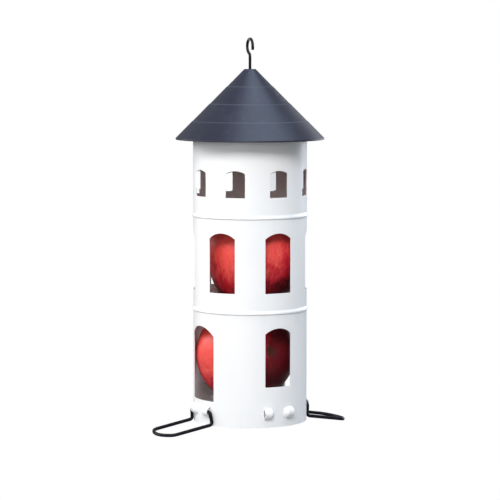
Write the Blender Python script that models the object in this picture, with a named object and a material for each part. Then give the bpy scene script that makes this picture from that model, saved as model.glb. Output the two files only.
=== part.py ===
"""Hanging bird feeder: a small round tower of painted sheet steel with a stepped cone roof.

A rolled tube with three rows of arched windows holds two apples. A strap riveted across its top
turns on a hooked rod, the roof rides on the same rod, and two wire perches hinge in pairs of
bridges lanced from the wall.

Heights run up from the tube's lower edge, which the empty tower_foot sets below the part's
origin: the crown of the hook, where it bears on whatever it hangs from. Angles round the tube
start at -Y and grow towards +X, so that they run to the right for someone who faces the wall.
"""

import math

import bmesh
import bpy
from mathutils import Matrix, Vector
from mathutils.bvhtree import BVHTree

MM = 0.001
GAP = 0.3 * MM
FINE = 0.01 * MM
BITE = 0.1 * MM
PUNCH_MARGIN = 3.2 * MM
SHARP_EDGE = math.radians(35)
BEND_SEGMENTS = 4
WIRE_ROUNDING = 2

# Tube
TUBE_RADIUS = 50.0 * MM
SHEET = 0.8 * MM
LOWER_STOREY = 98.5 * MM
MIDDLE_STOREY = 82.4 * MM
TOP_STOREY = 82.1 * MM
BEAD_OUT = 0.9 * MM
BEAD_SLOPE = 2.8 * MM
BEAD_LIP = 0.8 * MM
TUBE_FACETS = 60

# Windows: width, sill above the storey's base, arch rise
WINDOW_WIDTH = 25.3 * MM
WINDOW_RISE = 4.8 * MM
LOWER_SILL = 35.1 * MM
MIDDLE_SILL = 18.1 * MM
HEAD_BAND = 12.3 * MM
GATE_WIDTH = 35.2 * MM
GATE_RISE = 8.2 * MM
GATE_SILL = 21.2 * MM
LOOKOUT_WIDTH = 17.2 * MM
LOOKOUT_HEIGHT = 23.2 * MM
LOOKOUT_RISE = 2.4 * MM
LOOKOUT_SILL = 18.5 * MM
ARCH_SEGMENTS = 8
LOWER_WINDOWS = 4
MIDDLE_WINDOWS = 6
LOOKOUTS = 8

# Shutter tab left standing in each lookout
SHUTTER_WIDTH = 6.0 * MM
SHUTTER_FOOT = 6.5 * MM
SHUTTER_KERF = 0.15 * MM
SHUTTER_SHEET = 0.72 * MM
SHUTTER_BEND = math.radians(14)
SHUTTER_SEGMENTS = 3

# Lanced bridges that hold the perches
BRIDGE_HEIGHT = 12.2 * MM
BRIDGE_SPACING = 19.0 * MM
BRIDGE_WIDTH = 8.8 * MM
BRIDGE_TALL = 9.5 * MM
BRIDGE_OUT = 4.2 * MM
BRIDGE_SEGMENTS = 8

# Lap seam at the back, with its rivets
SEAM_ANGLE = math.radians(153)
SEAM_FACETS = 2
SEAM_TRIM = 4.0 * MM
RIVETS_PER_STOREY = 2
RIVET_SHANK = 2.6 * MM
RIVET_HEAD = 5.2 * MM
RIVET_DOME = 1.3 * MM
RIVET_TAIL = 3.9 * MM
RIVET_TAIL_TALL = 1.0 * MM
RIVET_TAIL_FOOT = 3.1 * MM
RIVET_FACETS = 8

# Floor pan
PAN_HEIGHT = 9.0 * MM
PAN_FLANGE = 7.5 * MM
PAN_CORNER = 1.2 * MM
PAN_PANEL_RADIUS = 22.0 * MM
PAN_PANEL_RISE = 4.5 * MM
PAN_PANEL_SLOPE = 5.0 * MM
DRAIN_HOLES = 8
DRAIN_DIAMETER = 4.5 * MM

# Roof
ROOF_OVERHANG = 15.4 * MM
ROOF_HEIGHT = 61.5 * MM
CAP_RADIUS = 5.6 * MM
CAP_ROUND = 1.1 * MM
ROD_PLAY = 1.5 * MM
EAVE_LIP = 1.2 * MM
COURSES = 4
COURSE_OUT = 0.8 * MM
COURSE_DROP = 0.5 * MM
ROOF_FACETS = 54

# Strap across the tube's top
STRAP_WIDTH = 14.0 * MM
STRAP_THICK = 1.5 * MM
STRAP_DEPTH = 5.0 * MM
STRAP_EAR = 12.0 * MM
STRAP_BEND = 2.0 * MM
STRAP_BEND_SEGMENTS = 4
ROD_HOLE_FACETS = 16

# Hooked rod and what holds it in the strap
ROD_DIAMETER = 2.5 * MM
ROD_SHOWN = 10.9 * MM
ROD_TAIL = 1.2 * MM
CROOK_RADIUS = 6.5 * MM
CROOK_NECK = 3.0 * MM
CROOK_TIP = 3.2 * MM
CROOK_ANGLE = math.radians(-8.6)
CROOK_SEGMENTS = 18
WASHER_DIAMETER = 9.0 * MM
WASHER_THICK = 0.8 * MM
WASHER_FACETS = 24
NUT_FLATS = 5.5 * MM
NUT_THICK = 2.0 * MM
NUT_TURN = math.radians(17)
LOCK_NUT_TURN = math.radians(40)

# Perches
PERCH_WIRE = 3.0 * MM
PERCH_LEG = 10.7 * MM
PERCH_LEG_PLAY = 1.0 * MM
PERCH_SPLAY = 1.65 * MM
PERCH_TIP = 6.5 * MM
PERCH_REACH = 44.9 * MM
PERCH_SLOPE = math.radians(9.3)
PERCH_BEND = 2.6 * MM
PERCH_CORNER = 6.5 * MM
PERCH_BOW = 27.0 * MM
PERCH_BOW_SEGMENTS = 8

# Apples: play is the room left to the bore, and forms are shares of the widest radius
LOWER_APPLE_PLAY = 5.8 * MM
UPPER_APPLE_PLAY = 6.8 * MM
LOWER_APPLE_LEFT = 1.2 * MM
LOWER_APPLE_BACK = 1.0 * MM
UPPER_APPLE_RIGHT = 3.3 * MM
UPPER_APPLE_FRONT = 1.9 * MM
LOWER_APPLE_TILT = math.radians(-104)
UPPER_APPLE_TILT = math.radians(12)
LOWER_APPLE_TURN = math.radians(3)
UPPER_APPLE_TURN = math.radians(23)
APPLE_SHOULDER = 0.86
APPLE_FULLNESS = 0.14
APPLE_BASE = 1.18
APPLE_TAPER = 0.035
APPLE_LOBES = 5
APPLE_LOBE_DEPTH = 0.02
APPLE_CAVITY = 0.36
APPLE_CAVITY_SPREAD = 0.27
APPLE_EYE = 0.14
APPLE_EYE_SPREAD = 0.26
APPLE_MERIDIANS = 25
APPLE_RINGS = 16
SEARCH_STEPS = 24
STALK_DIAMETER = 2.4 * MM
STALK_LENGTH = 17.0 * MM
STALK_SWEEP = 3.7 * MM
STALK_SEGMENTS = 6

BORE_RADIUS = TUBE_RADIUS - SHEET
TUBE_LENGTH = LOWER_STOREY + MIDDLE_STOREY + TOP_STOREY
BEADS = (LOWER_STOREY, LOWER_STOREY + MIDDLE_STOREY)
EAVE_RADIUS = TUBE_RADIUS + ROOF_OVERHANG
ROD_HOLE = ROD_DIAMETER + ROD_PLAY
STRAP_TOP = TUBE_LENGTH - STRAP_DEPTH
RIVET_HEIGHT = STRAP_TOP - STRAP_THICK - STRAP_EAR / 2
PERCH_TOP_HALF = (BRIDGE_SPACING + BRIDGE_WIDTH + PERCH_WIRE) / 2 + PERCH_LEG_PLAY
PERCH_ARM_HALF = PERCH_TOP_HALF + PERCH_SPLAY


def clear_scene():
    for obj in list(bpy.data.objects):
        bpy.data.objects.remove(obj, do_unlink=True)


def material(name, colour, roughness, metallic=0.0):
    made = bpy.data.materials.new(name)
    made.use_nodes = True
    shader = made.node_tree.nodes["Principled BSDF"]
    shader.inputs["Base Color"].default_value = (*colour, 1.0)
    shader.inputs["Roughness"].default_value = roughness
    shader.inputs["Metallic"].default_value = metallic
    made.diffuse_color = (*colour, 1.0)
    return made


def empty(name, parent=None, location=(0, 0, 0), turn=0.0):
    made = bpy.data.objects.new(name, None)
    bpy.context.scene.collection.objects.link(made)
    made.parent = parent
    made.location = location
    made.rotation_euler.z = turn
    return made


def add_object(name, data, parent, finish=None, location=(0, 0, 0), turn=0.0):
    made = bpy.data.objects.new(name, data)
    bpy.context.scene.collection.objects.link(made)
    made.parent = parent
    made.location = location
    made.rotation_euler.z = turn
    if finish is not None:
        made.data.materials.append(finish)
    return made


def smooth_rounds(mesh):
    mesh.shade_smooth()
    mesh.set_sharp_from_angle(angle=SHARP_EDGE)


def mesh_from(bm, name):
    bmesh.ops.recalc_face_normals(bm, faces=bm.faces)
    mesh = bpy.data.meshes.new(name)
    bm.to_mesh(mesh)
    bm.free()
    smooth_rounds(mesh)
    return mesh


def settle(obj):
    """Turns the modifiers' result into the object's own mesh, with its cut edges sharp."""
    bpy.context.view_layer.update()
    graph = bpy.context.evaluated_depsgraph_get()
    result = bpy.data.meshes.new_from_object(obj.evaluated_get(graph))
    cutters = [m.object for m in obj.modifiers if m.type == "BOOLEAN"]
    obj.modifiers.clear()
    obj.data = result
    smooth_rounds(result)
    for cutter in cutters:
        bpy.data.objects.remove(cutter, do_unlink=True)


def line_mesh(name, profile):
    """An edge line in the XZ plane, for a Screw modifier to turn."""
    mesh = bpy.data.meshes.new(name)
    points = [(radius, 0, height) for radius, height in profile]
    mesh.from_pydata(points, [(i, i + 1) for i in range(len(points) - 1)], [])
    return mesh


def turn_sheet(obj, facets, thickness):
    """Screw turns the profile line round Z, and Solidify gives the sheet its wall, inwards."""
    screw = obj.modifiers.new("turn", "SCREW")
    screw.steps = facets
    screw.render_steps = facets
    screw.use_merge_vertices = True
    screw.merge_threshold = FINE
    screw.use_smooth_shade = True
    wall = obj.modifiers.new("sheet", "SOLIDIFY")
    wall.thickness = thickness
    wall.offset = -1
    wall.use_even_offset = True


def turned_solid(name, profile, facets):
    """A section in the XZ plane, spun round Z. It is closed, or starts and ends on the axis."""
    bm = bmesh.new()
    points = [bm.verts.new((radius, 0, height)) for radius, height in profile]
    edges = [bm.edges.new((a, b)) for a, b in zip(points, points[1:])]
    if profile[0][0] > 0:
        edges.append(bm.edges.new((points[-1], points[0])))
    bmesh.ops.spin(
        bm,
        geom=points + edges,
        cent=(0, 0, 0),
        axis=(0, 0, 1),
        angle=math.tau,
        steps=facets,
        use_merge=True,
    )
    bmesh.ops.remove_doubles(bm, verts=bm.verts, dist=FINE)
    return mesh_from(bm, name)


def boolean(obj, other, operation):
    modifier = obj.modifiers.new(operation.lower(), "BOOLEAN")
    modifier.operation = operation
    modifier.solver = "EXACT"
    modifier.object = other


def helper(name, bm, parent):
    """A cutter or an added form, which takes no part in the result by itself."""
    made = add_object(name, mesh_from(bm, name), parent)
    made.hide_render = True
    made.display_type = "WIRE"
    return made


def outward(angle):
    return Vector((math.sin(angle), -math.cos(angle), 0))


def along(angle):
    return Vector((math.cos(angle), math.sin(angle), 0))


def join_rings(bm, one, two):
    for i in range(len(one)):
        j = (i + 1) % len(one)
        bm.faces.new((one[i], one[j], two[j], two[i]))


def prism(bm, section, place, near, far):
    """Adds the closed 2-D section, drawn by place(a, b, depth), from depth near to depth far."""
    fronts = [bm.verts.new(place(a, b, near)) for a, b in section]
    backs = [bm.verts.new(place(a, b, far)) for a, b in section]
    bm.faces.new(fronts)
    bm.faces.new(backs)
    join_rings(bm, fronts, backs)


def through_wall(angle):
    """Places a section drawn on the wall at this angle, with its depth as distance from the axis."""

    def place(across, height, depth):
        return outward(angle) * depth + along(angle) * across + Vector((0, 0, height))

    return place


def arc(centre, radius, start, end, segments):
    return [
        (
            centre[0] + radius * math.cos(start + (end - start) * i / segments),
            centre[1] + radius * math.sin(start + (end - start) * i / segments),
        )
        for i in range(segments + 1)
    ]


def arch_height(across, width, crest, rise):
    """Height of a segmental arch at a distance across from its middle."""
    radius = ((width / 2) ** 2 + rise**2) / (2 * rise)
    return crest - radius + math.sqrt(radius**2 - across**2)


def arched_opening(width, sill, crest, rise):
    steps = [width * (0.5 - i / ARCH_SEGMENTS) for i in range(ARCH_SEGMENTS + 1)]
    head = [(across, arch_height(across, width, crest, rise)) for across in steps]
    return [(-width / 2, sill), (width / 2, sill)] + head


def disc_outline(diameter, centre_height, facets):
    return arc((0, centre_height), diameter / 2, 0, math.tau, facets)[:-1]


def rounded_path(corners, radii):
    """A 3-D line through the corners, each inner corner rounded to its own radius."""
    path = [corners[0]]
    for before, corner, after, radius in zip(corners, corners[1:], corners[2:], radii):
        back = (before - corner).normalized()
        ahead = (after - corner).normalized()
        half = back.angle(ahead) / 2
        middle = corner + (back + ahead).normalized() * radius / math.sin(half)
        first = (corner + back * radius / math.tan(half) - middle).normalized()
        last = (corner + ahead * radius / math.tan(half) - middle).normalized()
        for i in range(BEND_SEGMENTS + 1):
            path.append(middle + first.slerp(last, i / BEND_SEGMENTS) * radius)
    path.append(corners[-1])
    return path


def wire(name, points, diameter, parent, finish, location=(0, 0, 0), turn=0.0):
    curve = bpy.data.curves.new(name, "CURVE")
    curve.dimensions = "3D"
    curve.bevel_depth = diameter / 2
    curve.bevel_resolution = WIRE_ROUNDING
    curve.use_fill_caps = True
    spline = curve.splines.new("POLY")
    spline.points.add(len(points) - 1)
    for point, place in zip(spline.points, points):
        point.co = (*place, 1.0)
    spline.use_smooth = True
    return add_object(name, curve, parent, finish, location, turn)


def wall_line(extra=0.0, trim=0.0):
    """The tube's outer line from top to bottom, with its two swaged beads, moved out by extra."""
    radius = TUBE_RADIUS + extra
    line = [(radius, TUBE_LENGTH - trim)]
    for lip in reversed(BEADS):
        line += [
            (radius, lip + BEAD_LIP + BEAD_SLOPE),
            (radius + BEAD_OUT, lip + BEAD_LIP),
            (radius + BEAD_OUT, lip + BEAD_LIP / 2),
            (radius, lip - BEAD_LIP / 2),
        ]
    return line + [(radius, trim)]


def opening_rows():
    """Yields angle, width, sill, crest and rise of every window."""
    lower_crest = LOWER_STOREY - HEAD_BAND
    for i in range(LOWER_WINDOWS):
        angle = math.tau * i / LOWER_WINDOWS
        if i % 2:
            yield angle, GATE_WIDTH, GATE_SILL, lower_crest, GATE_RISE
        else:
            yield angle, WINDOW_WIDTH, LOWER_SILL, lower_crest, WINDOW_RISE
    middle_sill = BEADS[0] + MIDDLE_SILL
    for i in range(MIDDLE_WINDOWS):
        angle = math.tau * i / MIDDLE_WINDOWS
        yield angle, WINDOW_WIDTH, middle_sill, BEADS[1] - HEAD_BAND, WINDOW_RISE
    for angle in lookout_angles():
        sill = BEADS[1] + LOOKOUT_SILL
        yield angle, LOOKOUT_WIDTH, sill, sill + LOOKOUT_HEIGHT, LOOKOUT_RISE


def lookout_angles():
    return [math.tau * i / LOOKOUTS for i in range(LOOKOUTS)]


def bridge_angles():
    half = math.asin(BRIDGE_SPACING / 2 / TUBE_RADIUS)
    middles = [math.tau * i / LOWER_WINDOWS for i in range(LOWER_WINDOWS)]
    return [middle + side * half for middle in middles for side in (-1, 1)]


def seam_turn():
    """The seam's middle, set between two edges of the faceted wall."""
    step = math.tau / TUBE_FACETS
    return (math.floor(SEAM_ANGLE / step) + 0.5) * step


def seam_rivet_heights():
    """Rivets at an even pitch in each storey."""
    floors = (0.0, *BEADS, TUBE_LENGTH)
    heights = []
    for low, high in zip(floors, floors[1:]):
        pitch = (high - low) / RIVETS_PER_STOREY
        heights += [low + pitch * (i + 0.5) for i in range(RIVETS_PER_STOREY)]
    return heights


def rivet_places():
    """Name, angle, height and thickness held, for every rivet in the wall."""
    for i, height in enumerate(seam_rivet_heights()):
        yield f"seam_rivet_{i + 1}", seam_turn(), height, 2 * SHEET
    grip = TUBE_RADIUS - strap_half_length() + STRAP_THICK
    for i, angle in enumerate((-math.pi / 2, math.pi / 2)):
        yield f"strap_rivet_{i + 1}", angle, RIVET_HEIGHT, grip


def strap_half_length():
    """The strap's flat ears clear the curved bore at their edges."""
    return math.sqrt(BORE_RADIUS**2 - (STRAP_WIDTH / 2) ** 2) - GAP


def add_shutter(bm, angle):
    """A tab lanced from a lookout: hinged on its left edge, its head follows the arch."""
    hinge = -LOOKOUT_WIDTH / 2
    sill = BEADS[1] + LOOKOUT_SILL
    crest = sill + LOOKOUT_HEIGHT - SHUTTER_KERF
    steps = [SHUTTER_WIDTH * i / SHUTTER_SEGMENTS for i in range(SHUTTER_SEGMENTS + 1)]
    heads = [
        (step, arch_height(hinge + step, LOOKOUT_WIDTH, crest, LOOKOUT_RISE))
        for step in reversed(steps)
    ]
    root = -SHEET / 2
    foot = sill + SHUTTER_FOOT
    section = [(root, foot), (SHUTTER_WIDTH, foot)] + heads[:-1] + [(root, heads[-1][1])]
    edge_angle = angle + math.asin(hinge / TUBE_RADIUS)
    leaf = along(edge_angle + SHUTTER_BEND)
    across = outward(edge_angle + SHUTTER_BEND)
    start = outward(edge_angle) * (TUBE_RADIUS - SHEET / 2)

    def place(step, height, depth):
        return start + leaf * step + across * depth + Vector((0, 0, height))

    prism(bm, section, place, -SHUTTER_SHEET / 2, SHUTTER_SHEET / 2)


def bridge_section(shrink, root):
    """Half an ellipse that stands out from the wall, from root outwards."""
    half_tall = BRIDGE_TALL / 2 - shrink
    out = TUBE_RADIUS + BRIDGE_OUT - shrink - root
    return [
        (
            root + out * math.cos(turn),
            BRIDGE_HEIGHT + half_tall * math.sin(turn),
        )
        for turn in (
            math.pi * (i / BRIDGE_SEGMENTS - 0.5) for i in range(BRIDGE_SEGMENTS + 1)
        )
    ]


def add_bridge(bm, angle):
    root = BORE_RADIUS + BITE
    section = bridge_section(0, root) + bridge_section(SHEET, root)[::-1]

    def place(depth, height, across):
        return outward(angle) * depth + along(angle) * across + Vector((0, 0, height))

    half = BRIDGE_WIDTH / 2
    prism(bm, section, place, -half, half)


def add_seam_strip(bm):
    """The outer lap: the wall's own line, one sheet further out, rooted in the wall."""
    step = math.tau / TUBE_FACETS
    outer = wall_line(SHEET, SEAM_TRIM)
    inner = wall_line(-SHEET / 2, SEAM_TRIM)
    section = outer + inner[::-1]
    rings = []
    for i in range(SEAM_FACETS + 1):
        turn = seam_turn() + step * (i - SEAM_FACETS / 2)
        ring = [bm.verts.new(outward(turn) * r + Vector((0, 0, h))) for r, h in section]
        rings.append(ring)
    bm.faces.new(rings[0])
    bm.faces.new(rings[-1])
    for one, two in zip(rings, rings[1:]):
        join_rings(bm, one, two)


def make_tower_shell(foot, finish):
    """One rolled sheet: windows punched, tabs and bridges lanced, beads swaged, back seam lapped."""
    shell = add_object("tower_shell", line_mesh("tower_shell", wall_line()), foot, finish)
    turn_sheet(shell, TUBE_FACETS, SHEET)

    outside = TUBE_RADIUS + PUNCH_MARGIN
    widest = max(GATE_WIDTH, WINDOW_WIDTH, LOOKOUT_WIDTH)
    inside = math.sqrt(BORE_RADIUS**2 - (widest / 2) ** 2) - PUNCH_MARGIN
    openings = bmesh.new()
    for angle, width, sill, crest, rise in opening_rows():
        section = arched_opening(width, sill, crest, rise)
        prism(openings, section, through_wall(angle), inside, outside)
    slot_half = BRIDGE_WIDTH / 2 + BITE
    slot_low = BRIDGE_HEIGHT - BRIDGE_TALL / 2 + SHEET
    slot_high = BRIDGE_HEIGHT + BRIDGE_TALL / 2 - SHEET
    slot = [
        (-slot_half, slot_low),
        (slot_half, slot_low),
        (slot_half, slot_high),
        (-slot_half, slot_high),
    ]
    for angle in bridge_angles():
        prism(openings, slot, through_wall(angle), inside, outside)
    boolean(shell, helper("punched_openings", openings, foot), "DIFFERENCE")

    forms = bmesh.new()
    for angle in lookout_angles():
        add_shutter(forms, angle)
    for angle in bridge_angles():
        add_bridge(forms, angle)
    add_seam_strip(forms)
    boolean(shell, helper("lanced_forms", forms, foot), "UNION")

    holes = bmesh.new()
    for _, angle, height, _ in rivet_places():
        outline = disc_outline(RIVET_SHANK + 2 * GAP, height, RIVET_FACETS)
        prism(holes, outline, through_wall(angle), inside, outside)
    boolean(shell, helper("rivet_holes", holes, foot), "DIFFERENCE")
    settle(shell)


def rivet_section(grip):
    """Head, shank and tail about the wall's outer face, which lies at height 0."""
    quarter = arc((0, 0), 1.0, 0, math.pi / 2, 2)
    dome = [(x * RIVET_HEAD / 2, GAP + z * RIVET_DOME) for x, z in quarter]
    tail_top = -grip - GAP
    tail_low = tail_top - RIVET_TAIL_TALL
    shank = RIVET_SHANK / 2
    tail = RIVET_TAIL / 2
    tail_line = [
        (0, tail_low),
        (RIVET_TAIL_FOOT / 2, tail_low),
        (tail, tail_top - RIVET_TAIL_TALL / 2),
        (tail, tail_top),
    ]
    return tail_line + [(shank, tail_top), (shank, GAP)] + dome


def make_rivets(foot, finish):
    for name, angle, height, grip in rivet_places():
        face = TUBE_RADIUS + (SHEET if name.startswith("seam") else 0.0)
        mesh = turned_solid(name, rivet_section(grip), RIVET_FACETS)
        rivet = add_object(name, mesh, foot, finish)
        rivet.location = outward(angle) * face + Vector((0, 0, height))
        rivet.rotation_euler = (math.pi / 2, 0, angle)


def make_floor_pan(foot, finish):
    """A pressed floor: raised middle that sheds water to a gutter with drain holes."""
    rim = BORE_RADIUS - GAP
    gutter_inner = PAN_PANEL_RADIUS + PAN_PANEL_SLOPE
    corner_centre = (rim - PAN_CORNER, PAN_HEIGHT - PAN_CORNER)
    corner = arc(corner_centre, PAN_CORNER, math.pi / 2, 0, 2)
    profile = [
        (0, PAN_HEIGHT + PAN_PANEL_RISE),
        (PAN_PANEL_RADIUS, PAN_HEIGHT + PAN_PANEL_RISE),
        (gutter_inner, PAN_HEIGHT),
        *corner,
        (rim, PAN_HEIGHT - PAN_FLANGE),
    ]
    pan = add_object("floor_pan", line_mesh("floor_pan", profile), foot, finish)
    turn_sheet(pan, TUBE_FACETS, SHEET)
    drains = bmesh.new()
    ring = (gutter_inner + rim) / 2
    for i in range(DRAIN_HOLES):
        angle = math.tau * (i + 0.5) / DRAIN_HOLES
        centre = outward(angle) * ring

        def place(x, y, height, centre=centre):
            return centre + Vector((x, y, height))

        outline = disc_outline(DRAIN_DIAMETER, 0, RIVET_FACETS)
        prism(drains, outline, place, PAN_HEIGHT - PUNCH_MARGIN, PAN_HEIGHT + PUNCH_MARGIN)
    boolean(pan, helper("drain_holes", drains, foot), "DIFFERENCE")
    settle(pan)


def make_strap(foot, finish):
    """A flat bar bent down at both ends, with a hole for the rod and one for each rivet."""
    half = strap_half_length()
    low = STRAP_TOP - STRAP_THICK - STRAP_EAR
    inner = half - STRAP_THICK
    under = STRAP_TOP - STRAP_THICK
    quarter = math.pi / 2
    inside_bend = STRAP_BEND - STRAP_THICK
    over_centre = (half - STRAP_BEND, STRAP_TOP - STRAP_BEND)
    under_centre = (inner - inside_bend, under - inside_bend)
    outside = arc(over_centre, STRAP_BEND, 0, quarter, STRAP_BEND_SEGMENTS)
    inside = arc(under_centre, inside_bend, quarter, 0, STRAP_BEND_SEGMENTS)
    right = [(inner, low), (half, low)] + outside
    left = [(-x, z) for x, z in reversed(right)]
    under_left = [(-x, z) for x, z in reversed(inside)]
    section = right + left + under_left + inside
    bm = bmesh.new()

    def place(x, height, y):
        return Vector((x, y, height))

    prism(bm, section, place, -STRAP_WIDTH / 2, STRAP_WIDTH / 2)
    strap = add_object("top_strap", mesh_from(bm, "top_strap"), foot, finish)
    holes = bmesh.new()

    def upright(x, y, height):
        return Vector((x, y, height))

    rod_hole = disc_outline(ROD_DIAMETER + 2 * GAP, 0, ROD_HOLE_FACETS)
    prism(holes, rod_hole, upright, under - STRAP_THICK, STRAP_TOP + STRAP_THICK)
    rivet_hole = disc_outline(RIVET_SHANK + 2 * GAP, RIVET_HEIGHT, RIVET_FACETS)
    for angle in (-math.pi / 2, math.pi / 2):
        prism(holes, rivet_hole, through_wall(angle), inner - STRAP_THICK, half + STRAP_THICK)
    boolean(strap, helper("strap_holes", holes, foot), "DIFFERENCE")
    settle(strap)


def roof_profile():
    """Outer line of the roof from the rod hole to the eave, heights above the eave."""
    shoulder = arc(
        (CAP_RADIUS - CAP_ROUND, ROOF_HEIGHT - CAP_ROUND),
        CAP_ROUND,
        math.pi / 2,
        math.pi / 4,
        2,
    )
    steps = COURSES - 1
    top_radius, top_height = shoulder[-1]
    run = EAVE_RADIUS - top_radius - steps * COURSE_OUT
    fall = top_height - EAVE_LIP - steps * COURSE_DROP
    profile = [(ROD_HOLE / 2, ROOF_HEIGHT)] + shoulder
    radius, height = top_radius, top_height
    for course in range(COURSES):
        radius += run / COURSES
        height -= fall / COURSES
        profile.append((radius, height))
        if course < steps:
            radius += COURSE_OUT
            height -= COURSE_DROP
            profile.append((radius, height))
    profile.append((EAVE_RADIUS, 0))
    return profile


def roof_seat():
    """Height of the eave that leaves the roof's inside just above the tube's top edge."""
    profile = roof_profile()
    for (r1, h1), (r2, h2) in zip(profile, profile[1:]):
        if r1 <= TUBE_RADIUS <= r2:
            slope = (h1 - h2) / (r2 - r1)
            outer = h2 + (r2 - TUBE_RADIUS) * slope
            inner = outer - SHEET * math.sqrt(1 + slope**2)
            return TUBE_LENGTH + GAP - inner
    raise ValueError("the tube is wider than the roof")


def make_roof(foot, finish):
    """A pressed cone in stepped courses, open underneath, with a hole for the rod."""
    mesh = line_mesh("roof_cone", roof_profile())
    roof = add_object("roof_cone", mesh, foot, finish, (0, 0, roof_seat()))
    turn_sheet(roof, ROOF_FACETS, SHEET)
    settle(roof)


def crook_centre():
    """Height of the crook's centre: its neck bends off the rod and meets the crook's circle."""
    bend_start = roof_seat() + ROOF_HEIGHT + ROD_SHOWN
    return bend_start + math.sqrt(CROOK_RADIUS**2 + 2 * CROOK_NECK * CROOK_RADIUS)


def hang_height():
    """The crown of the hook's inside, above the tube's lower edge."""
    return crook_centre() + CROOK_RADIUS - ROD_DIAMETER / 2


def rod_low_end():
    stack = STRAP_THICK + WASHER_THICK + 2 * NUT_THICK + 3 * GAP
    return STRAP_TOP - stack - ROD_TAIL


def make_hook_rod(foot, finish):
    """One wire: straight through the roof and strap, with a question-mark crook on top."""
    centre = crook_centre()
    start = centre - math.sqrt(CROOK_RADIUS**2 + 2 * CROOK_NECK * CROOK_RADIUS)
    lean = math.asin((centre - start) / (CROOK_NECK + CROOK_RADIUS))
    neck = arc((-CROOK_NECK, start), CROOK_NECK, 0, lean, BEND_SEGMENTS)
    crook = arc((0, centre), CROOK_RADIUS, math.pi + lean, 0, CROOK_SEGMENTS)
    flat = [(0, rod_low_end())] + neck + crook[1:] + [(CROOK_RADIUS, centre - CROOK_TIP)]
    towards = outward(CROOK_ANGLE)
    points = [towards * across + Vector((0, 0, height)) for across, height in flat]
    wire("hook_rod", points, ROD_DIAMETER, foot, finish)


def make_rod_fixings(foot, finish):
    """Washer, nut and lock nut under the strap."""
    bore = ROD_DIAMETER / 2 + GAP
    top = STRAP_TOP - STRAP_THICK - GAP
    ring = [
        (bore, -WASHER_THICK),
        (WASHER_DIAMETER / 2, -WASHER_THICK),
        (WASHER_DIAMETER / 2, 0),
        (bore, 0),
    ]
    washer = turned_solid("rod_washer", ring, WASHER_FACETS)
    add_object("rod_washer", washer, foot, finish, (0, 0, top))
    top -= WASHER_THICK + GAP
    for name, turn in (("rod_nut", NUT_TURN), ("rod_lock_nut", LOCK_NUT_TURN)):
        add_object(name, hexagon_nut(name, bore), foot, finish, (0, 0, top), turn)
        top -= NUT_THICK + GAP


def hexagon_nut(name, bore):
    """A hexagon with its corners chamfered to a circle, bored through."""
    bm = bmesh.new()
    flat = NUT_FLATS / 2
    corner = flat / math.cos(math.pi / 6)
    chamfer = (corner - flat) / 2
    levels = (
        (0.0, bore, bore),
        (0.0, flat, flat),
        (-chamfer, flat, corner),
        (chamfer - NUT_THICK, flat, corner),
        (-NUT_THICK, flat, flat),
        (-NUT_THICK, bore, bore),
    )
    rings = []
    for height, *radii in levels:
        turns = [math.pi * i / 6 for i in range(12)]
        rings.append(
            [
                bm.verts.new((radii[i % 2] * math.cos(t), radii[i % 2] * math.sin(t), height))
                for i, t in enumerate(turns)
            ]
        )
    for one, two in zip(rings, rings[1:] + rings[:1]):
        join_rings(bm, one, two)
    return mesh_from(bm, name)


def perch_hinge_distance():
    """The wire's axis, from the tube's axis, where it just clears the bridges' inside."""
    bridge_turn = math.asin(BRIDGE_SPACING / 2 / TUBE_RADIUS)
    crown = TUBE_RADIUS + BRIDGE_OUT - SHEET - GAP - PERCH_WIRE / 2
    outer_end = BRIDGE_SPACING / 2 + BRIDGE_WIDTH / 2
    return (crown - outer_end * math.sin(bridge_turn)) / math.cos(bridge_turn)


def perch_points():
    """From one tip through its leg, arm, the bowed front, and back to the other tip.

    x runs along the hinge axis, -y outwards and z up, from the middle of the hinge axis.
    """
    half = PERCH_ARM_HALF
    rest = math.sqrt(TUBE_RADIUS**2 - half**2) + PERCH_WIRE / 2 + GAP
    lean = rest - perch_hinge_distance()

    def on_arm(x, distance):
        out = lean + distance * math.cos(PERCH_SLOPE)
        return Vector((x, -out, -PERCH_LEG - distance * math.sin(PERCH_SLOPE)))

    def on_bow(x):
        return on_arm(x, PERCH_REACH - PERCH_BOW + math.sqrt(PERCH_BOW**2 - x**2))

    tip = (BRIDGE_SPACING + BRIDGE_WIDTH) / 2 - PERCH_TIP
    xs = [half * (1 - 2 * i / PERCH_BOW_SEGMENTS) for i in range(PERCH_BOW_SEGMENTS + 1)]
    corners = [
        Vector((tip, 0, 0)),
        Vector((PERCH_TOP_HALF, 0, 0)),
        on_arm(half, 0),
        on_bow(half),
        on_bow(xs[1]),
    ]
    start = rounded_path(corners, (PERCH_BEND, PERCH_BEND, PERCH_CORNER))[:-1]
    bow = [on_bow(x) for x in xs[1:-1]]
    end = [Vector((-p.x, p.y, p.z)) for p in reversed(start)]
    return start + bow + end


def make_perch(name, foot, finish, angle):
    """One bent wire, hinged by its inward tips in the two bridges at this angle."""
    place = outward(angle) * perch_hinge_distance() + Vector((0, 0, BRIDGE_HEIGHT))
    hinge = empty(name + "_hinge", foot, place, angle)
    wire(name, perch_points(), PERCH_WIRE, hinge, finish)


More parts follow.
